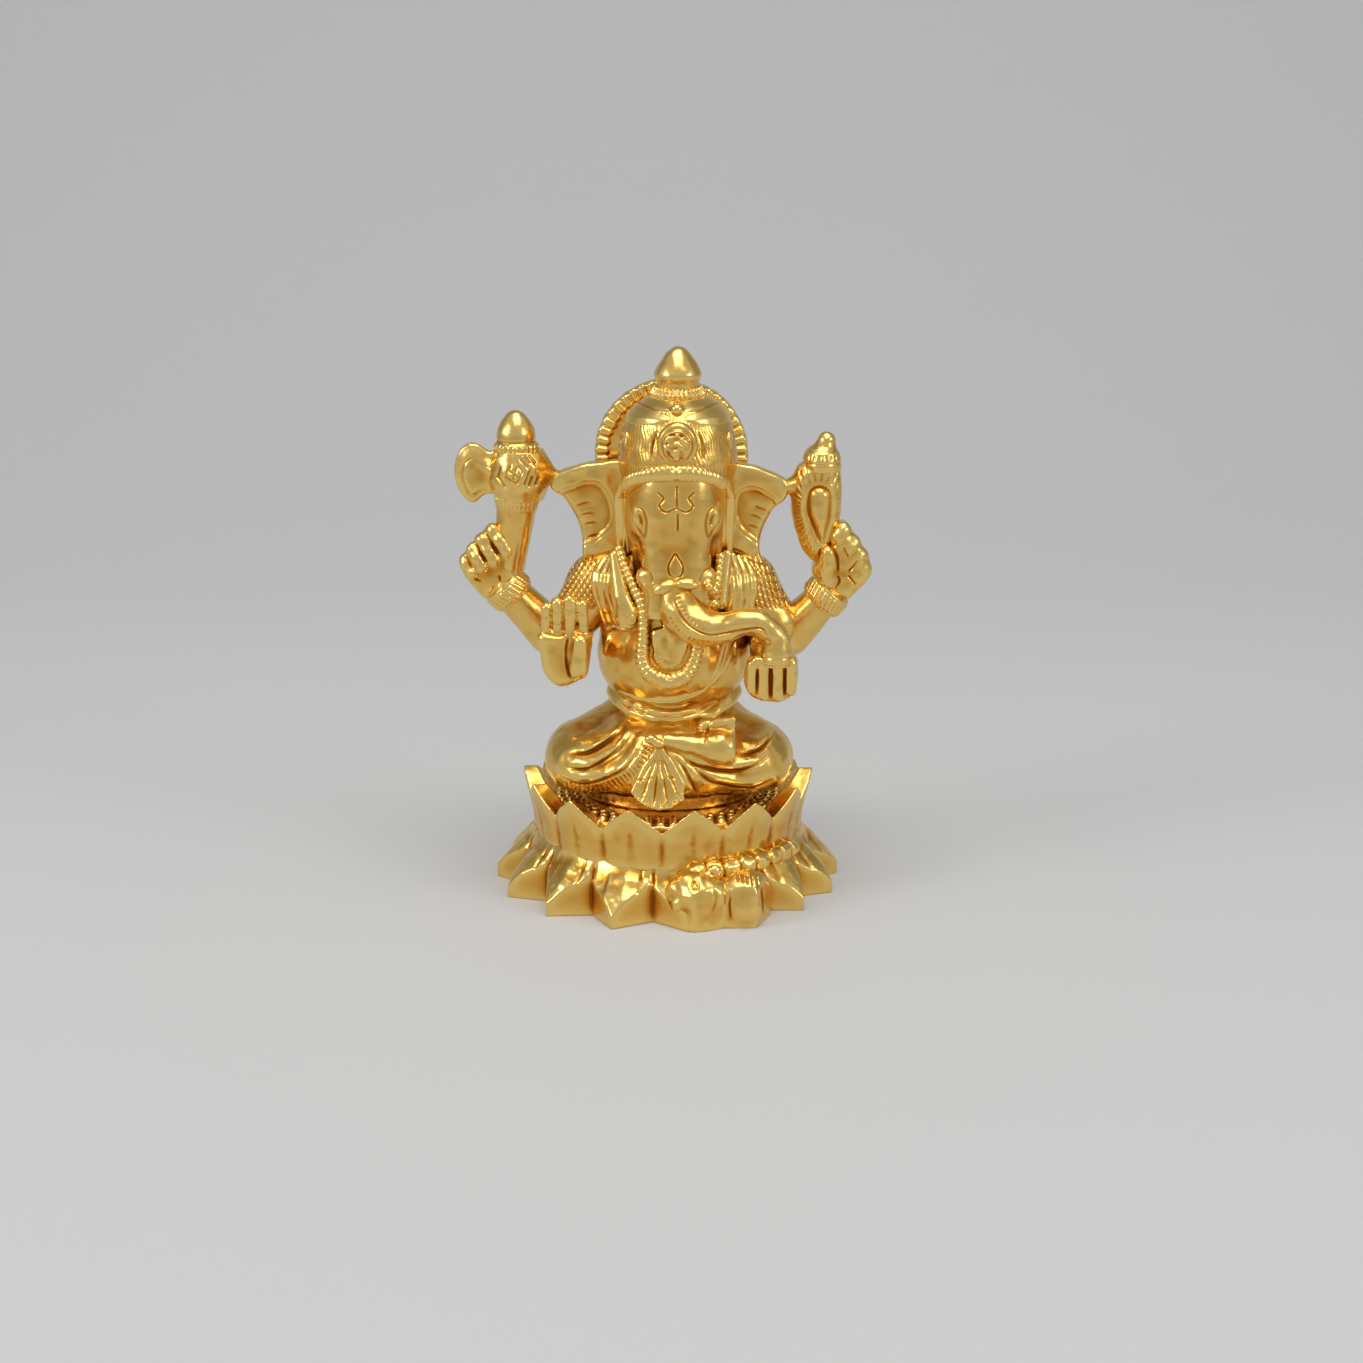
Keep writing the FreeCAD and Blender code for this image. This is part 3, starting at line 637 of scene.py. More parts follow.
@sculpts(MEDIUM, sides=(-1, 1))
def back_forearm(c, side):
    return capsule(c, ELBOWS[side], 2.8, WRISTS[side], 2.15) + 0.05 * lumps(c, 1.2, 23)


@sculpts(FINE, sides=(-1, 1))
def bracelet(c, side):
    start, end = Vector(WRISTS[side]), Vector(ELBOWS[side])
    along = (end - start).normalized()
    middle = start + along * 0.4
    x, y, z = c.x - middle.x, c.y - middle.y, c.z - middle.z
    length = x * along.x + y * along.y + z * along.z
    radius = np.sqrt(x * x + y * y + z * z - length * length)
    turn = np.arctan2(y, x * along.z - z * along.x)
    d = np.hypot(np.maximum(radius - 2.3, 0), np.maximum(np.abs(length) - 0.75, 0)) - 0.55
    d = d + 0.16 * spokes(turn + 0.12 * length, 26, 0.14) * (np.abs(length) < 0.85)
    return d + 0.16 * bell(np.abs(length) - 0.95, 0.12) + 0.05 * lumps(c, 0.8, 24)


@sculpts(FINE)
def back_fist_right(c):
    shape = [
        (-18.0, 41.2), (-19.6, 43.2), (-20.9, 44.9), (-21.8, 44.7), (-23.0, 43.3),
        (-24.1, 42.1), (-24.9, 40.9), (-25.1, 40.0), (-24.6, 38.8), (-23.3, 37.1),
        (-21.9, 35.9), (-19.6, 36.8), (-17.7, 38.8),
    ]
    palm = plate(c, shape, -2.3, 1.8, 1.4)
    fingers = []
    bones = (-21.0, 44.6, -19.3, 42.0), (-22.4, 43.3, -20.9, 40.9), (-23.5, 42.1, -22.4, 40.1)
    for fx, fz, rx, rz in bones:
        fingers.append(capsule(c, (fx, -1.4, fz), 0.8, (rx, -1.9, rz), 0.9))
        fingers.append(ellipsoid(c, ((fx + rx) / 2, -2.2, (fz + rz) / 2), (0.8, 0.6, 0.8)))
    fingers.append(capsule(c, (-24.4, -1.4, 40.8), 0.8, (-23.6, -1.9, 39.4), 0.9))
    d = join(palm, joined(0.3, *fingers), 0.5)
    creases = [
        [(-20.7, 45.7), (-17.8, 41.4)],
        [(-21.9, 44.4), (-20.2, 41.4)],
        [(-23.1, 43.0), (-21.7, 40.5)],
        [(-24.4, 41.5), (-23.4, 39.6)],
        [(-20.4, 39.3), (-20.2, 38.3), (-20.4, 37.2)],
        [(-20.9, 37.9), (-21.6, 36.7)],
        [(-23.3, 38.6), (-22.4, 38.3)],
    ]
    return d + grooves(c, creases, 0.16, 0.2, taper=0.2) + 0.08 * lumps(c, 0.8, 25)


@sculpts(FINE)
def back_fist_left(c):
    shape = [
        (18.4, 41.4), (19.7, 43.2), (20.5, 45.0), (21.5, 45.4), (22.3, 44.3), (23.6, 42.5), (24.4, 41.0),
        (24.7, 39.7), (24.2, 38.2), (22.9, 36.8), (21.8, 35.9), (19.6, 36.6), (17.8, 38.6), (17.6, 40.0),
    ]
    palm = plate(c, shape, -2.6, 1.8, 1.4)
    tips = [(21.3, 44.6), (22.5, 43.1), (23.4, 41.4), (23.8, 39.6)]
    fingers = [capsule(c, (x, -1.5, z), 0.85, (x - 0.8, -1.7, z - 0.8), 0.9) for x, z in tips]
    thumb = capsule(c, (19.2, -2.0, 38.4), 1.0, (19.4, -2.2, 41.8), 0.9)
    d = joined(0.5, palm, joined(0.25, *fingers), thumb)
    creases = [
        [(20.5, 39.3), (20.8, 38.4), (20.3, 37.3)],
        [(21.8, 39.4), (23.1, 41.2)],
        [(21.7, 39.3), (22.9, 37.8)],
        [(21.1, 42.8), (21.9, 41.2)],
        [(19.4, 43.2), (20.5, 41.4), (20.6, 39.3)],
    ]
    return d + grooves(c, creases, 0.16, 0.2, taper=0.2) + 0.08 * lumps(c, 0.8, 26)


@sculpts(MEDIUM, sides=(-1, 1))
def front_forearm(c, side):
    right = side < 0
    elbow, wrist = (12.2, -1.6, 31.8), (12.4, -10.0, 30.4)
    if right:
        elbow, wrist = (-11.6, -1.6, 31.6), (-12.1, -9.0, 30.8)
    d = capsule(c, elbow, 2.6, wrist, 1.9)
    cuff = 0.35 * bell(c.y + 6.6, 0.8) * (1 - 0.6 * notches(c.x, 0.6))
    return d - cuff


@sculpts(FINE)
def front_hand_right(c):
    shape = [
        (-14.9, 34.2), (-15.0, 31.2), (-14.6, 29.2), (-13.4, 27.8), (-12.1, 27.5),
        (-10.8, 28.1), (-9.4, 29.2), (-9.1, 31.4), (-9.3, 34.2),
    ]
    palm = plate(c, shape, -11.6, -8.7, 1.1)
    thumb = capsule(c, (-10.5, -11.2, 29.8), 1.25, (-10.2, -11.5, 33.2), 0.9)
    fingers, joints = [], []
    bones = (-14.2, 37.8, 0.64), (-12.95, 38.4, 0.78), (-11.4, 38.7, 0.86), (-9.95, 38.2, 0.72)
    for x, top, radius in bones:
        fingers.append(capsule(c, (x, -10.6, 33.6), radius, (x, -10.8, top - radius), radius))
        for drop in (1.6, 3.0):
            joints.append([(x - 0.6, top - drop), (x + 0.6, top - drop)])
    d = joined(0.3, palm, joined(0.2, *fingers), thumb)
    d = d + grooves(c, joints, 0.15, 0.07, smooth=False)
    lines = [[(-11.5, 34.4), (-11.9, 32.2), (-11.8, 30.0), (-11.2, 28.0)]]
    lines.append([(-14.8, 34.2), (-12.8, 33.8), (-11.6, 34.2)])
    return d + grooves(c, lines, 0.15, 0.2, taper=0.2) + 0.08 * lumps(c, 0.9, 27)


@sculpts(FINE, 1.6)
def front_hand_left(c):
    fingers = []
    for x, foot, radius in ((10.1, 27.6, 0.7), (11.4, 27.0, 0.85), (13.1, 26.9, 0.88), (14.6, 27.5, 0.78)):
        fingers.append(capsule(c, (x, -12.3, 30.6), radius, (x, -12.2, foot), radius))
    shape = [(10.3, 31.4), (9.3, 29.8), (9.2, 28.0), (10.2, 26.5), (12.2, 25.9), (14.2, 26.2), (15.3, 27.6)]
    back = plate(c, shape + [(15.5, 29.8), (14.9, 31.4)], -12.6, -9.4, 1.0)
    rim = capsule(c, (10.5, -12.4, 31.2), 0.5, (14.7, -12.4, 31.1), 0.5)
    d = joined(0.2, joined(0.15, *fingers), back, rim)
    seams = [[(10.7, 30.4), (10.6, 26.8)], [(12.25, 30.6), (12.3, 26.2)], [(13.9, 30.5), (13.9, 26.6)]]
    return d + grooves(c, seams, 0.15, 0.14, taper=0.1) + 0.08 * lumps(c, 0.9, 28)


# ---- what the back hands hold ----


@sculpts(FINE)
def axe_shaft(c):
    d = capsule(c, (-19.2, -0.4, 39.8), 1.9, (-18.2, -0.4, 47.0), 2.4)
    axis = (AXE_X, -0.4)
    collar = spun(c, axis, [(0, 47.0), (2.4, 47.0), (2.75, 47.8), (2.75, 48.5), (0, 48.5)])
    collar = collar + 0.12 * spokes(turn_about(c, axis), 30)
    return join(d, collar, 0.3) + 0.04 * lumps(c, 1.0, 31)


@sculpts(FINE * 0.85)
def axe_knob(c):
    profile = [(2.8, 48.2), (3.5, 49.8), (3.6, 51.2), (3.5, 52.6), (2.9, 54.1)]
    barrel = spun(c, (-17.8, -0.3), [(0, 48.2), *smooth_path(profile), (0, 54.1)])
    spur = capsule(c, (-15.8, -0.4, 51.6), 2.2, (-13.5, -0.5, 51.0), 0.7)
    d = join(barrel, spur, 0.9) - 0.1
    lattice = [
        [(-19.8, 52.7), (-20.2, 51.3), (-19.1, 50.1)],
        [(-18.5, 53.0), (-19.2, 51.4), (-17.9, 50.6), (-17.2, 52.0), (-17.9, 53.4)],
        [(-17.7, 53.7), (-16.2, 52.4), (-17.1, 50.2)],
        [(-18.9, 52.2), (-17.5, 51.3)],
        [(-18.4, 51.0), (-17.7, 52.8)],
        [(-17.1, 54.0), (-16.2, 52.9)],
        [(-16.5, 54.0), (-15.6, 52.8)],
        [(-16.0, 51.5), (-16.5, 50.2)],
        [(-15.3, 51.3), (-15.7, 50.3)],
    ]
    d = d + c.before(-1.5) * grooves(c, lattice, 0.13, 0.16, smooth=False, taper=0.08)
    return d + 0.08 * lumps(c, 0.9, 32)


AXE_BLADE = [
    (-20.4, 49.3), (-21.9, 48.7), (-23.4, 47.7), (-24.7, 48.6), (-25.6, 51.2),
    (-25.1, 53.7), (-23.9, 54.9), (-22.6, 54.8), (-21.5, 54.0), (-20.4, 53.6),
]


@sculpts(FINE)
def axe_blade(c):
    flat = shadow(c, AXE_BLADE)
    thick = 0.55 + 0.45 * ramp(-flat / 1.4)
    d = common(flat, slab(c.y, -0.3, 0) - thick, 0.35)
    bevel = [(-22.6, 53.9), (-24.4, 52.4), (-24.4, 50.2), (-23.5, 48.7), (-21.9, 49.4)]
    d = d + groove(c, bevel, 0.2, 0.2, taper=0.2)
    cheek = capsule(c, (-21.0, -0.9, 51.8), 1.1, (-22.9, -0.7, 52.9), 0.35)
    return join(d, cheek, 0.5) + 0.04 * lumps(c, 0.9, 33)


@sculpts(FINE)
def axe_finial(c):
    profile = [(2.5, 53.7), (2.6, 54.6), (2.3, 55.2), (2.15, 56.4), (1.6, 57.6), (0.8, 58.5), (0, 58.8)]
    axis = (AXE_X, -0.3)
    d = spun(c, axis, [(0, 53.7), *smooth_path(profile)])
    d = d + 0.16 * spokes(turn_about(c, axis), 22) * ramp((55.0 - c.z) / 0.3)
    return d + 0.14 * bell(c.z - 55.25, 0.2) - 0.12 + 0.05 * lumps(c, 1.0, 34)


NOOSE = [
    (16.6, 41.6), (15.5, 44.2), (14.9, 47.4), (15.1, 50.2), (15.9, 52.4), (18.4, 53.2),
    (20.6, 52.2), (21.0, 49.0), (20.8, 45.4), (19.8, 42.4), (18.0, 40.6),
]


@sculpts(FINE)
def noose(c):
    flat = shadow(c, NOOSE)
    thick = 1.2 + 0.8 * ramp(-flat / 1.4)
    d = common(flat, slab(c.y, -0.3, 0) - thick, 0.8)
    front = c.before(-0.4, 0.8)
    heart = [(17.3, 49.3), (18.3, 49.8), (19.4, 49.1), (19.5, 47.4), (19.2, 45.2), (18.7, 43.2)]
    inner = shadow(c, heart + [(17.8, 44.9), (17.0, 47.2)])
    turn = np.arctan2(c.x - 18.1, c.z - 46.8)
    rays = spokes(turn, 36, 0.2) * ramp((inner - 0.8) / 0.3) * ramp((-flat - 0.3) / 0.25)
    d = d + front * (0.12 * rays + 0.2 * bell(inner - 0.1, 0.24) - 0.3 * ramp(-inner / 0.8))
    spur = capsule(c, (16.2, -0.4, 50.0), 1.5, (14.4, -0.5, 49.6), 0.9)
    return join(d, spur, 0.6) + 0.05 * lumps(c, 0.9, 35)


@sculpts(FINE)
def noose_tip(c):
    profile = [(2.25, 51.6), (2.3, 52.6), (2.1, 53.6), (1.8, 54.2), (0.8, 54.8)]
    axis = (18.6, -0.3)
    base = spun(c, axis, [(0, 51.6), *smooth_path(profile), (0, 54.8)])
    beads = spokes(turn_about(c, axis), 20) * bell(c.z - 53.4, 0.35)
    rims = bell(c.z - 52.7, 0.14) + bell(c.z - 54.1, 0.14)
    cone = capsule(c, (18.7, -0.3, 53.3), 1.95, (19.15, -0.3, 55.2), 1.1)
    return join(base + 0.14 * beads + 0.1 * rims - 0.05, cone, 0.2) + 0.06 * lumps(c, 0.9, 36)


# ---- head ----


@sculpts(FINE * 0.85, 1.6)
def head(c):
    skull = ellipsoid(c, (FACE_X - 0.3, -2.2, 47.2), (6.5, 6.3, 8.8))
    forehead = ellipsoid(c, (FACE_X - 0.1, -4.2, 48.8), (5.5, 4.9, 4.6))
    p = Points(c.x, c.y + 0.09 * (50 - c.z), c.z)
    face = box(p, (FACE_X - 4.2, -8.9, 34.0), (FACE_X + 4.2, -1.0, 53.5), 2.3)
    d = common(joined(1.8, skull, forehead, face), c.y - NAPE_Y, 0.6)
    lines = [[(1.0, 43.4), (0.2, 41.8), (0.5, 40.6), (1.6, 40.6), (1.9, 41.8), (1.0, 43.4)]]
    eyes = []
    for side in (-1, 1):
        lids = ellipsoid(c, (FACE_X + side * 4.4, -6.6, 47.0), (1.0, 1.5, 1.9), -8 * side)
        cheek = ellipsoid(c, (FACE_X + side * 3.7, -8.0, 40.2), (1.1, 1.1, 1.2))
        jowl = capsule(c, (FACE_X + side * 3.4, -3.4, 45.0), 2.4, (FACE_X + side * 3.2, -4.6, 40.4), 2.0)
        d = joined(0.6, d, lids, cheek, jowl)
        sides = [(2.2, 50.6), (1.5, 49.9), (2.0, 49.0), (1.2, 48.3), (0.0, 48.8)]
        eye = [(5.0, 48.4), (4.3, 48.6), (3.7, 47.9), (3.5, 46.7), (3.8, 45.3), (4.5, 46.0), (5.2, 47.2)]
        pupil = [(4.6, 47.9), (4.2, 47.3), (4.1, 46.4)]
        curl = [(4.7, 41.5), (3.6, 41.3), (2.9, 40.6), (2.8, 39.6)]
        for line, group in ((sides, lines), (eye, eyes), (pupil, eyes), (curl, eyes)):
            group.append([(FACE_X + side * u, z) for u, z in line])
        brow = [(FACE_X + side * u, z) for u, z in ((5.4, 45.4), (4.2, 44.2), (3.9, 42.2))]
        d = d + 0.2 * c.before(-2.5, 1.5) * groove(c, brow, 0.4, 1.0, taper=0.3)
    stem = [[(1.2, 51.5), (1.2, 48.6)], [(1.3, 48.3), (1.3, 45.9)]]
    thin = grooves(c, stem, 0.12, 1.0, smooth=False, taper=0.1)
    thin = np.maximum(thin, grooves(c, lines, 0.12, 1.0, taper=0.02))
    thin = np.maximum(thin, grooves(c, eyes, 0.16, 0.7, taper=0.2))
    return d + 0.18 * c.before(-2.5, 1.5) * thin + 0.05 * lumps(c, 1.2, 42)


@sculpts(FINE)
def elephant_trunk(c):
    path = [
        (1.1, -6.2, 41.4, 3.0), (1.1, -6.9, 39.8, 2.85), (1.1, -7.8, 38.2, 2.8),
        (1.6, -8.7, 36.5, 2.85), (2.9, -9.7, 35.2, 2.65), (4.9, -10.9, 34.7, 2.2),
        (7.1, -11.6, 35.0, 1.75), (8.9, -11.9, 35.7, 1.6), (10.9, -12.0, 35.5, 1.6),
        (12.4, -12.1, 34.4, 1.6), (13.0, -12.1, 33.0, 1.7), (13.0, -12.0, 31.4, 2.0),
    ]
    d, _ = tube(c, path, 5)
    crease = [(0.8, 38.5), (1.5, 36.7), (2.7, 35.3), (4.7, 34.4), (6.7, 34.6), (8.6, 35.0)]
    crease = crease + [(11.0, 35.3), (12.0, 34.2)]
    front = c.before(-7.5, 1.5)
    d = d + front * groove(c, crease, 0.16, 0.24, taper=0.1)
    above = [(x + 0.35, z + 0.45) for x, z in crease[:6]]
    below = [(0.2, 36.2), (1.6, 34.4), (3.4, 33.5), (5.2, 33.4)]
    d = d + front * (ticks(c, above, 0.5, 0.3, 0.08, 0.2) + ticks(c, below, 0.55, 0.35, 0.08, 0.2))
    leaves = [
        ellipsoid(c, (2.4, -9.9, 39.8), (1.45, 0.8, 0.72), -6),
        ellipsoid(c, (-0.4, -9.7, 39.2), (1.45, 0.8, 0.8), 18),
    ]
    d = joined(0.2, d, *leaves) + 0.08 * lumps(c, 1.1, 43)
    mark = np.hypot(c.x - 11.8, c.z - 33.6)
    rings = 0.1 * notches(c.z, 0.5, 0.25) * ramp((32.2 - c.z) / 0.3) * (c.x > 10)
    return d + 0.12 * front * bell(mark - 0.35, 0.14) + rings


@sculpts(FINE, 1.6, sides=(-1, 1))
def tusk(c, side):
    start = (HEAD_X + side * 3.3, -7.2, 39.9)
    length = 1.3 if side < 0 else 2.2
    end = (start[0] + side * 0.4, start[1] - length, start[2] - 0.5)
    d = capsule(c, start, 1.15, end, 0.75)
    rim = np.sqrt((c.x - end[0]) ** 2 + (c.z - end[2]) ** 2)
    return d + 0.14 * bell(rim - 0.6, 0.12)


RIGHT_EAR = [
    (-4.6, 52.5), (-8.7, 52.7), (-11.1, 52.2), (-13.5, 51.2), (-14.0, 49.7), (-12.3, 48.1),
    (-10.9, 45.7), (-10.3, 43.0), (-10.1, 41.1), (-8.2, 41.2), (-5.0, 42.3), (-4.4, 47.4),
]
LEFT_EAR = [
    (6.8, 52.2), (9.7, 52.4), (12.2, 51.6), (14.4, 50.4), (14.4, 48.6), (12.6, 46.5),
    (11.4, 44.0), (11.2, 42.0), (11.4, 40.5), (8.8, 41.5), (6.8, 42.8), (6.4, 47.2),
]
RIGHT_PANEL = [
    (-13.0, 48.4), (-11.1, 49.9), (-9.5, 50.4), (-7.9, 50.0),
    (-6.8, 48.2), (-6.5, 46.1), (-7.3, 44.3), (-10.6, 42.8),
]
LEFT_PANEL = [
    (13.4, 47.5), (11.8, 49.1), (10.2, 49.7), (8.6, 49.2),
    (8.0, 47.3), (8.4, 45.3), (9.4, 44.0), (12.0, 42.8),
]


@sculpts(FINE, sides=(-1, 1))
def ear(c, side):
    right = side < 0
    shape = RIGHT_EAR if right else LEFT_EAR
    d = plate(c, shape, -1.5, 0.6, 0.5)
    inner = shadow(c, RIGHT_PANEL if right else LEFT_PANEL)
    front = c.before(-0.4, 0.6)
    d = d + front * (0.36 * ramp(-inner / 0.6) + 0.14 * bell(inner, 0.2))
    ribs = [[(10.2, 47.5), (12.5, 46.5)], [(9.8, 46.5), (11.9, 45.5)], [(9.6, 45.2), (11.4, 44.4)]]
    if right:
        ribs = [[(-11.6, 47.2), (-9.0, 48.0)], [(-11.0, 46.2), (-8.5, 46.6)]]
        ribs += [[(-10.5, 45.1), (-8.2, 45.4)], [(-10.0, 43.5), (-7.8, 44.0)]]
    d = d + front * grooves(c, ribs, 0.15, 0.16, smooth=False, taper=0.4)
    back = 1 - c.before(0.0, 0.5)
    d = d + back * 0.22 * bell(shadow(c, shape) + 1.1, 0.2)
    return d + 0.07 * lumps(c, 1.2, 41)


@sculpts(FINE, 2.4)
def crown(c):
    side = [(6.6, 50.6), (7.1, 52.4), (7.2, 53.8), (6.8, 55.9), (6.3, 58.0), (5.2, 59.7)]
    d = spun(c, CROWN_AXIS, [(0, 50.6), *smooth_path(side), (0, 59.7)])
    d = common(d, c.y - NAPE_Y, 0.2)
    turn = turn_about(c, CROWN_AXIS)
    lean = 0.05 * np.abs(turn) * (c.z - 55)
    strands = spokes(turn + lean + 0.02 * np.sin(c.z * 2.2), 92, 0.2)
    d = d + 0.1 * strands * (0.4 + 0.6 * lumps(c, 1.0, 51)).clip(0)
    leaf = [(HEAD_X - 6.1, 57.2), (HEAD_X - 6.6, 56.1), (HEAD_X - 6.3, 54.9), (HEAD_X - 5.8, 56.1)]
    petals = np.minimum(shadow(c, leaf), shadow(c, [(2 * HEAD_X - x, z) for x, z in leaf]))
    d = d - 0.3 * c.before(-2.0) * ramp(-petals / 0.3)
    frame_line = [(HEAD_X - 2.9, 53.8), (HEAD_X - 3.0, 55.6), (HEAD_X - 2.3, 57.8)]
    lines = [frame_line, [(2 * HEAD_X - x, z) for x, z in frame_line]]
    return d + c.before(-4.0) * grooves(c, lines, 0.14, 0.16, taper=0.3) + 0.06 * lumps(c, 1.2, 52)


@sculpts(FINE)
def crown_brim(c):
    """A flat band with chased edges, ribbed over the brow."""
    p = Points(c.x, c.y * 2, c.z)
    half = [(5.9, -3.8, 42.6), (6.1, -4.6, 46.6), (6.1, -5.4, 49.8), (4.8, -7.3, 51.7), (2.8, -8.5, 52.5)]
    right = [(FACE_X - 0.3 - x, 2 * y, z, 0.95) for x, y, z in half]
    left = [(FACE_X - 0.1 + x, 2 * y, z, 0.95) for x, y, z in reversed(half)]
    d, along = tube(p, right + [(FACE_X, -17.8, 52.8, 1.0)] + left)
    d = d * 0.6
    arch = ramp((c.z - 50.2) / 0.8)
    d = d + 0.07 * notches(along, 0.62, 0.18) * arch
    knob = ellipsoid(c, (FACE_X, -9.2, 52.8), (0.5, 0.4, 0.7))
    edge = bell(np.abs(c.x - FACE_X + 0.2) - 6.0, 0.16)
    return join(d, knob, 0.2) + 0.1 * edge * (1 - arch)


@sculpts(FINE)
def crown_jewel(c):
    d = ellipsoid(c, (1.25, -7.7, 56.0), (2.45, 1.45, 2.75))
    oval = np.hypot((c.x - 1.25) / 2.45, (c.z - 56.0) / 2.75)
    d = d + 0.2 * bell(oval - 0.74, 0.06)
    chips = 0.34 * lumps(c, 0.5, 53) + 0.2 * lumps(c, 0.9, 54)
    return d + ramp((0.68 - oval) / 0.1) * chips


@sculpts(FINE)
def crown_eaves(c):
    """Two wings that hang like a bow from a knob at the front, with their lower edges curling up to it."""
    turn = turn_about(c, CROWN_AXIS)
    profile = [(0, 57.0), (5.9, 57.2), (6.2, 58.0), (6.0, 58.8), (5.0, 59.8), (3.6, 60.7), (0, 60.8)]
    d = spun(c, CROWN_AXIS, profile)
    under = 57.5 + 1.6 * np.exp(-np.abs(turn) / 0.4) - c.z
    d = common(common(d - 0.1, under * 0.8, 0.35), c.y - NAPE_Y, 0.2)
    part = bell(turn, 0.12) * ramp((c.z - 57.5) / 1.0)
    knob = ellipsoid(c, (HEAD_X - 0.1, -6.5, 60.0), (0.8, 0.8, 0.7))
    radius = np.hypot(c.x - CROWN_AXIS[0], c.y - CROWN_AXIS[1])
    fold = 0.14 * bell(radius - 4.6 - 1.2 * np.exp(-np.abs(turn) / 0.5), 0.16) * (c.z > 59.0)
    return join(d + 0.3 * part + fold, knob, 0.2)


@sculpts(FINE)
def crown_ring(c):
    d = spun(c, CROWN_AXIS, [(0, 60.4), (3.3, 60.4), (3.4, 61.2), (3.0, 62.0), (0, 62.0)])
    return d + 0.24 * spokes(turn_about(c, CROWN_AXIS), 34)


@sculpts(FINE)
def finial(c):
    side = [(2.5, 61.6), (2.5, 62.4), (2.85, 63.3), (2.7, 63.9), (2.2, 64.8), (1.5, 65.8), (0.8, 66.45)]
    d = spun(c, CROWN_AXIS, [(0, 61.6), *smooth_path(side + [(0, 66.7)])])
    return d + 0.06 * lumps(c, 1.0, 55)


@sculpts(FINE)
def halo(c):
    x, y, z = HALO
    radius = np.hypot(c.x - x, c.z - z)
    turn = np.arctan2(c.x - x, c.z - z)
    disc = common(radius - 8.6, slab(c.y, y, 0.5), 0.1)
    rim = np.hypot(np.maximum(np.abs(radius - 8.4) - 0.45, 0), np.maximum(slab(c.y, y, 0.45), 0)) - 0.45
    rim = rim + 0.26 * spokes(turn, 46, 0.2) * c.before(y + 0.3) + 0.08 * lumps(c, 0.8, 56)
    back = 1 - c.before(y + 0.2, 0.3)
    rays = 0.16 * spokes(turn, 32) * ramp((radius - 3.4) / 0.3) * ramp((7.4 - radius) / 0.3)
    for size in (3.0, 7.6):
        rays = rays + 0.2 * bell(radius - size, 0.16)
    return join(disc + back * rays, rim, 0.1)


# ---- meshes ----


def softened(field, reach):
    """The field averaged over a cube of 2 * reach + 1 points a side."""
    for axis in range(3):
        padding = [(reach + 1, reach) if k == axis else (0, 0) for k in range(3)]
        total = np.cumsum(np.pad(field, padding, mode="edge"), axis=axis, dtype=np.float64)
        n = field.shape[axis]
        upper = np.take(total, np.arange(n) + 2 * reach + 1, axis)
        lower = np.take(total, np.arange(n), axis)
        field = ((upper - lower) / (2 * reach + 1)).astype(np.float32)
    return field


def at_points(values, points):
    """The values of a grid at points between its own, in grid steps."""
    low = np.clip(np.floor(points).astype(int), 0, np.array(values.shape) - 2)
    part = np.clip(points - low, 0, 1)
    total = 0
    for corner in np.ndindex(2, 2, 2):
        share = np.prod(np.where(corner, part, 1 - part), axis=1)
        total = total + share * values[tuple((low + corner).T)]
    return total


def surface(node):
    """The points and quads of a sculpted piece, and how hollow it is at each point."""
    shape, spacing, margin = SCULPTS[node]
    c = Clay(node, spacing, margin)
    field = np.array(np.broadcast_to(shape(c), c.shape), dtype=np.float32, order="C")
    for axis in range(3):
        for end in (0, -1):
            rim = [slice(None)] * 3
            rim[axis] = end
            field[tuple(rim)] = np.maximum(field[tuple(rim)], c.spacing)
    # How hollow each point is, near and broad: the gold material paints shade into the hollows from this.
    hollow = 0
    for reach, depth in HOLLOWS:
        hollow = hollow + (field - softened(field, max(1, round(reach / c.spacing)))) / depth
    grid = openvdb.FloatGrid(1.0)
    grid.copyFromArray(field)
    points, quads = grid.convertToQuads()
    places = (points * c.spacing + np.array(c.low)) * MM
    return places.astype(np.float32), quads[:, ::-1], at_points(hollow, points)


def add(name, data):
    """A new object in the scene, with that mesh, lamp or camera."""
    made = bpy.data.objects.new(name, data)
    bpy.context.collection.objects.link(made)
    return made


def add_piece(node, material, places, quads, hollow):
    mesh = bpy.data.meshes.new(f"{node}_cast")
    mesh.vertices.add(len(places))
    mesh.vertices.foreach_set("co", places.ravel())
    mesh.loops.add(quads.size)
    mesh.loops.foreach_set("vertex_index", quads.ravel().astype(np.int32))
    mesh.polygons.add(len(quads))
    mesh.polygons.foreach_set("loop_start", np.arange(0, quads.size, 4, dtype=np.int32))
    mesh.update(calc_edges=True)
    mesh.shade_smooth()
    mesh.attributes.new("hollow", "FLOAT", "POINT").data.foreach_set("value", hollow.astype(np.float32))
    piece = add(f"{node}_cast", mesh)
    body = next(b for b, nodes in frame["record"]["behaviour"]["bodies"].items() if node in nodes)
    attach(piece, body)
    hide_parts(node)
    mesh.materials.append(material)


# ---- gold ----

# Gold colours by hollowness: the darker, redder colours towards the hollows are partly patina and partly
# painted shade, standing in for the shade and the light thrown between the folds.
GOLD_AND_PAINTED_SHADE_STOPS = (
    (0.0, (0.88, 0.61, 0.185, 1)),
    (0.36, (0.79, 0.475, 0.107, 1)),
    (0.62, (0.64, 0.28, 0.03, 1)),
    (1.0, (0.28, 0.085, 0.005, 1)),
)  # from the rubbed edges to the deepest hollows


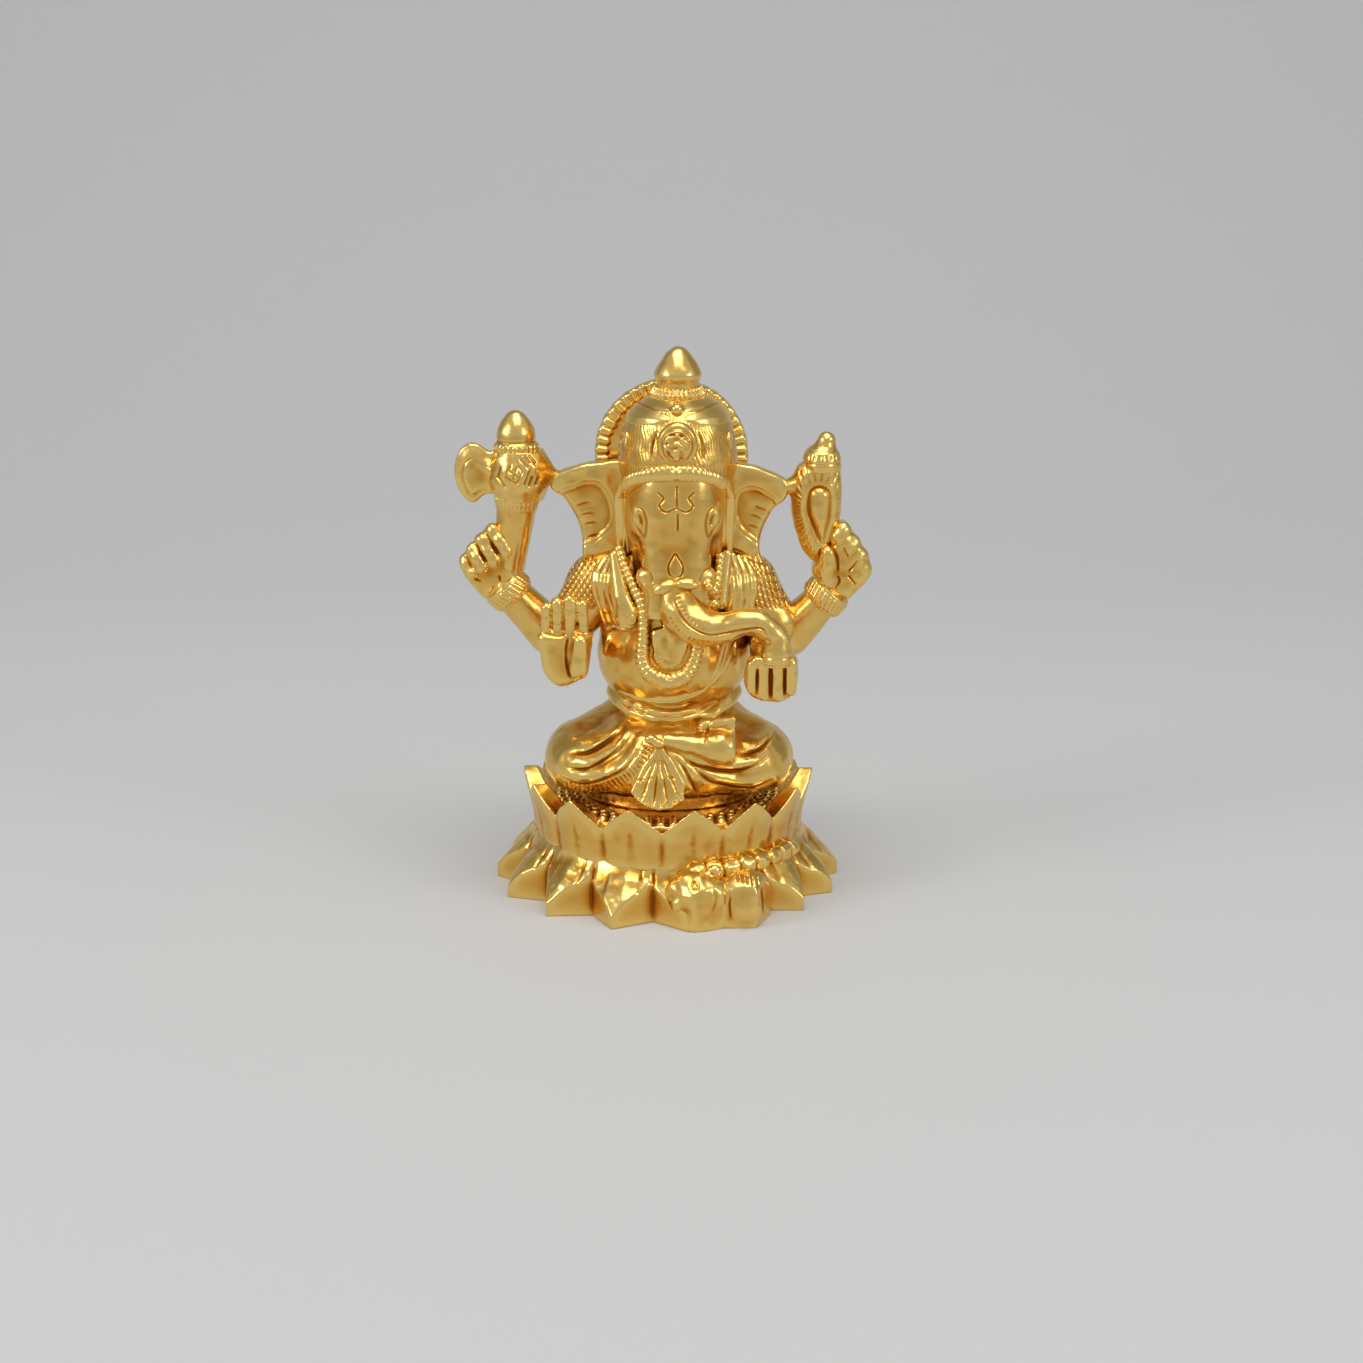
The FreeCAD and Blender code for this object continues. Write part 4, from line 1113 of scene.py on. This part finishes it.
def gold():
    """Polished gold plating: paler and brighter on the rubbed edges, deeper and redder in the hollows, where
    the colour is partly patina and partly painted shade.
    """
    material = bpy.data.materials.new("gold_plate")
    material.use_nodes = True
    tree = material.node_tree
    shader = tree.nodes["Principled BSDF"]
    shader.inputs["Metallic"].default_value = 1.0

    def make(kind, inputs=(), **settings):
        made = tree.nodes.new(kind)
        for key, value in settings.items():
            setattr(made, key, value)
        for key, value in dict(inputs).items():
            if isinstance(value, bpy.types.NodeSocket):
                tree.links.new(value, made.inputs[key])
            else:
                made.inputs[key].default_value = value
        return made

    place = make("ShaderNodeTexCoord").outputs["Object"]

    def noise(scale, detail):
        """A cloudy value that stays with the metal."""
        settings = {"Vector": place, "Scale": scale, "Detail": detail}
        return make("ShaderNodeTexNoise", settings).outputs["Fac"]

    def worked_out(operation, a, b):
        return make("ShaderNodeMath", {0: a, 1: b}, operation=operation).outputs[0]

    # The hollow attribute darkens and reddens the base colour towards the hollows: painted shade, with some
    # patina.
    hollow = make("ShaderNodeAttribute", attribute_name="hollow").outputs["Fac"]
    swirl = worked_out("SUBTRACT", noise(260.0, 4.0), 0.5)
    depth = worked_out("ADD", hollow, worked_out("MULTIPLY", swirl, 0.4))
    shade = make("ShaderNodeMapRange", {"Value": depth, "From Min": -0.7, "From Max": 1.0})
    colours = make("ShaderNodeValToRGB", {"Fac": shade.outputs[0]})
    stops = colours.color_ramp.elements
    stops.remove(stops[1])
    stops[0].color = GOLD_AND_PAINTED_SHADE_STOPS[0][1]
    for position, colour in GOLD_AND_PAINTED_SHADE_STOPS[1:]:
        stops.new(position).color = colour
    smear = make("ShaderNodeMapRange", {"Value": noise(900.0, 3.0), "To Min": 0.18, "To Max": 0.30})
    worn = make("ShaderNodeMapRange", {"Value": depth, "To Max": 0.22})
    rough = worked_out("ADD", smear.outputs[0], worn.outputs[0])
    grain = {"Height": noise(2600.0, 2.0), "Strength": 0.05, "Distance": 0.0001}
    ripple = {"Height": noise(420.0, 2.0), "Strength": 0.25, "Distance": 0.0004}
    ripple["Normal"] = make("ShaderNodeBump", grain).outputs[0]
    bump = make("ShaderNodeBump", ripple).outputs[0]
    for name, value in (("Base Color", colours.outputs[0]), ("Roughness", rough), ("Normal", bump)):
        tree.links.new(value, shader.inputs[name])
    return material


# ---- studio ----

SWEEP_START, SWEEP_RADIUS = 0.16, 0.4  # where the paper starts to curve up behind the figure, in metres
FRONT_EDGE, TOP_EDGE, SIDE_EDGE = -2.0, 2.5, 3
PAPER = (0.60, 0.60, 0.59, 1)
SKY, SKY_STRENGTH = (0.80, 0.81, 0.83, 1), 0.66
LIGHTS = (
    ("overhead", (0.02, -0.12, 0.50), 0.36, 1.15),
    ("left_window", (-0.40, -0.22, 0.26), 0.16, 0.5),
    ("right_fill", (0.38, -0.25, 0.22), 0.16, 0.3),
)  # name, place, size in metres, power in watts
LIT_POINT = Vector((0, 0, 0.035))
EYE = (0.00173, -0.300, 0.10725)
EYE_TILT = 15.3  # degrees below level
LENS = 66.7


def backdrop():
    """Pale paper that lies under the figure and curves up behind it."""
    mesh = bpy.data.meshes.new("floor")
    profile = [(FRONT_EDGE, 0.0), (SWEEP_START, 0.0)]
    for degrees in np.linspace(7.5, 90, 12):
        turn = math.radians(degrees)
        profile.append((SWEEP_START + SWEEP_RADIUS * math.sin(turn), SWEEP_RADIUS * (1 - math.cos(turn))))
    profile.append((SWEEP_START + SWEEP_RADIUS, TOP_EDGE))
    corners = [(x, y, z) for y, z in profile for x in (-SIDE_EDGE, SIDE_EDGE)]
    faces = [(2 * k, 2 * k + 1, 2 * k + 3, 2 * k + 2) for k in range(len(profile) - 1)]
    mesh.from_pydata(corners, [], faces)
    mesh.shade_smooth()
    floor = add("floor", mesh)
    paper = bpy.data.materials.new("pale_paper")
    paper.use_nodes = True
    shader = paper.node_tree.nodes["Principled BSDF"]
    shader.inputs["Base Color"].default_value = PAPER
    shader.inputs["Roughness"].default_value = 0.7
    mesh.materials.append(paper)


def lighting():
    world = bpy.data.worlds.new("studio")
    bpy.context.scene.world = world
    world.use_nodes = True
    sky = world.node_tree.nodes["Background"]
    sky.inputs["Color"].default_value = SKY
    sky.inputs["Strength"].default_value = SKY_STRENGTH
    for name, place, size, power in LIGHTS:
        data = bpy.data.lights.new(name, "AREA")
        data.size = size
        data.energy = power
        lamp = add(name, data)
        lamp.location = place
        lamp.rotation_euler = (LIT_POINT - lamp.location).to_track_quat("-Z", "Y").to_euler()


def camera():
    data = bpy.data.cameras.new("camera")
    data.lens = LENS
    data.sensor_width = 36.0
    data.clip_start = 0.01
    eye = add("camera", data)
    eye.location = EYE
    eye.rotation_euler = (math.radians(90 - EYE_TILT), 0, 0)
    bpy.context.scene.camera = eye


gold_plate = gold()
with ThreadPoolExecutor(4) as crew:
    for node, shape in zip(SCULPTS, crew.map(surface, SCULPTS)):
        add_piece(node, gold_plate, *shape)
backdrop()
lighting()
camera()
bpy.context.scene.view_settings.view_transform = "Standard"
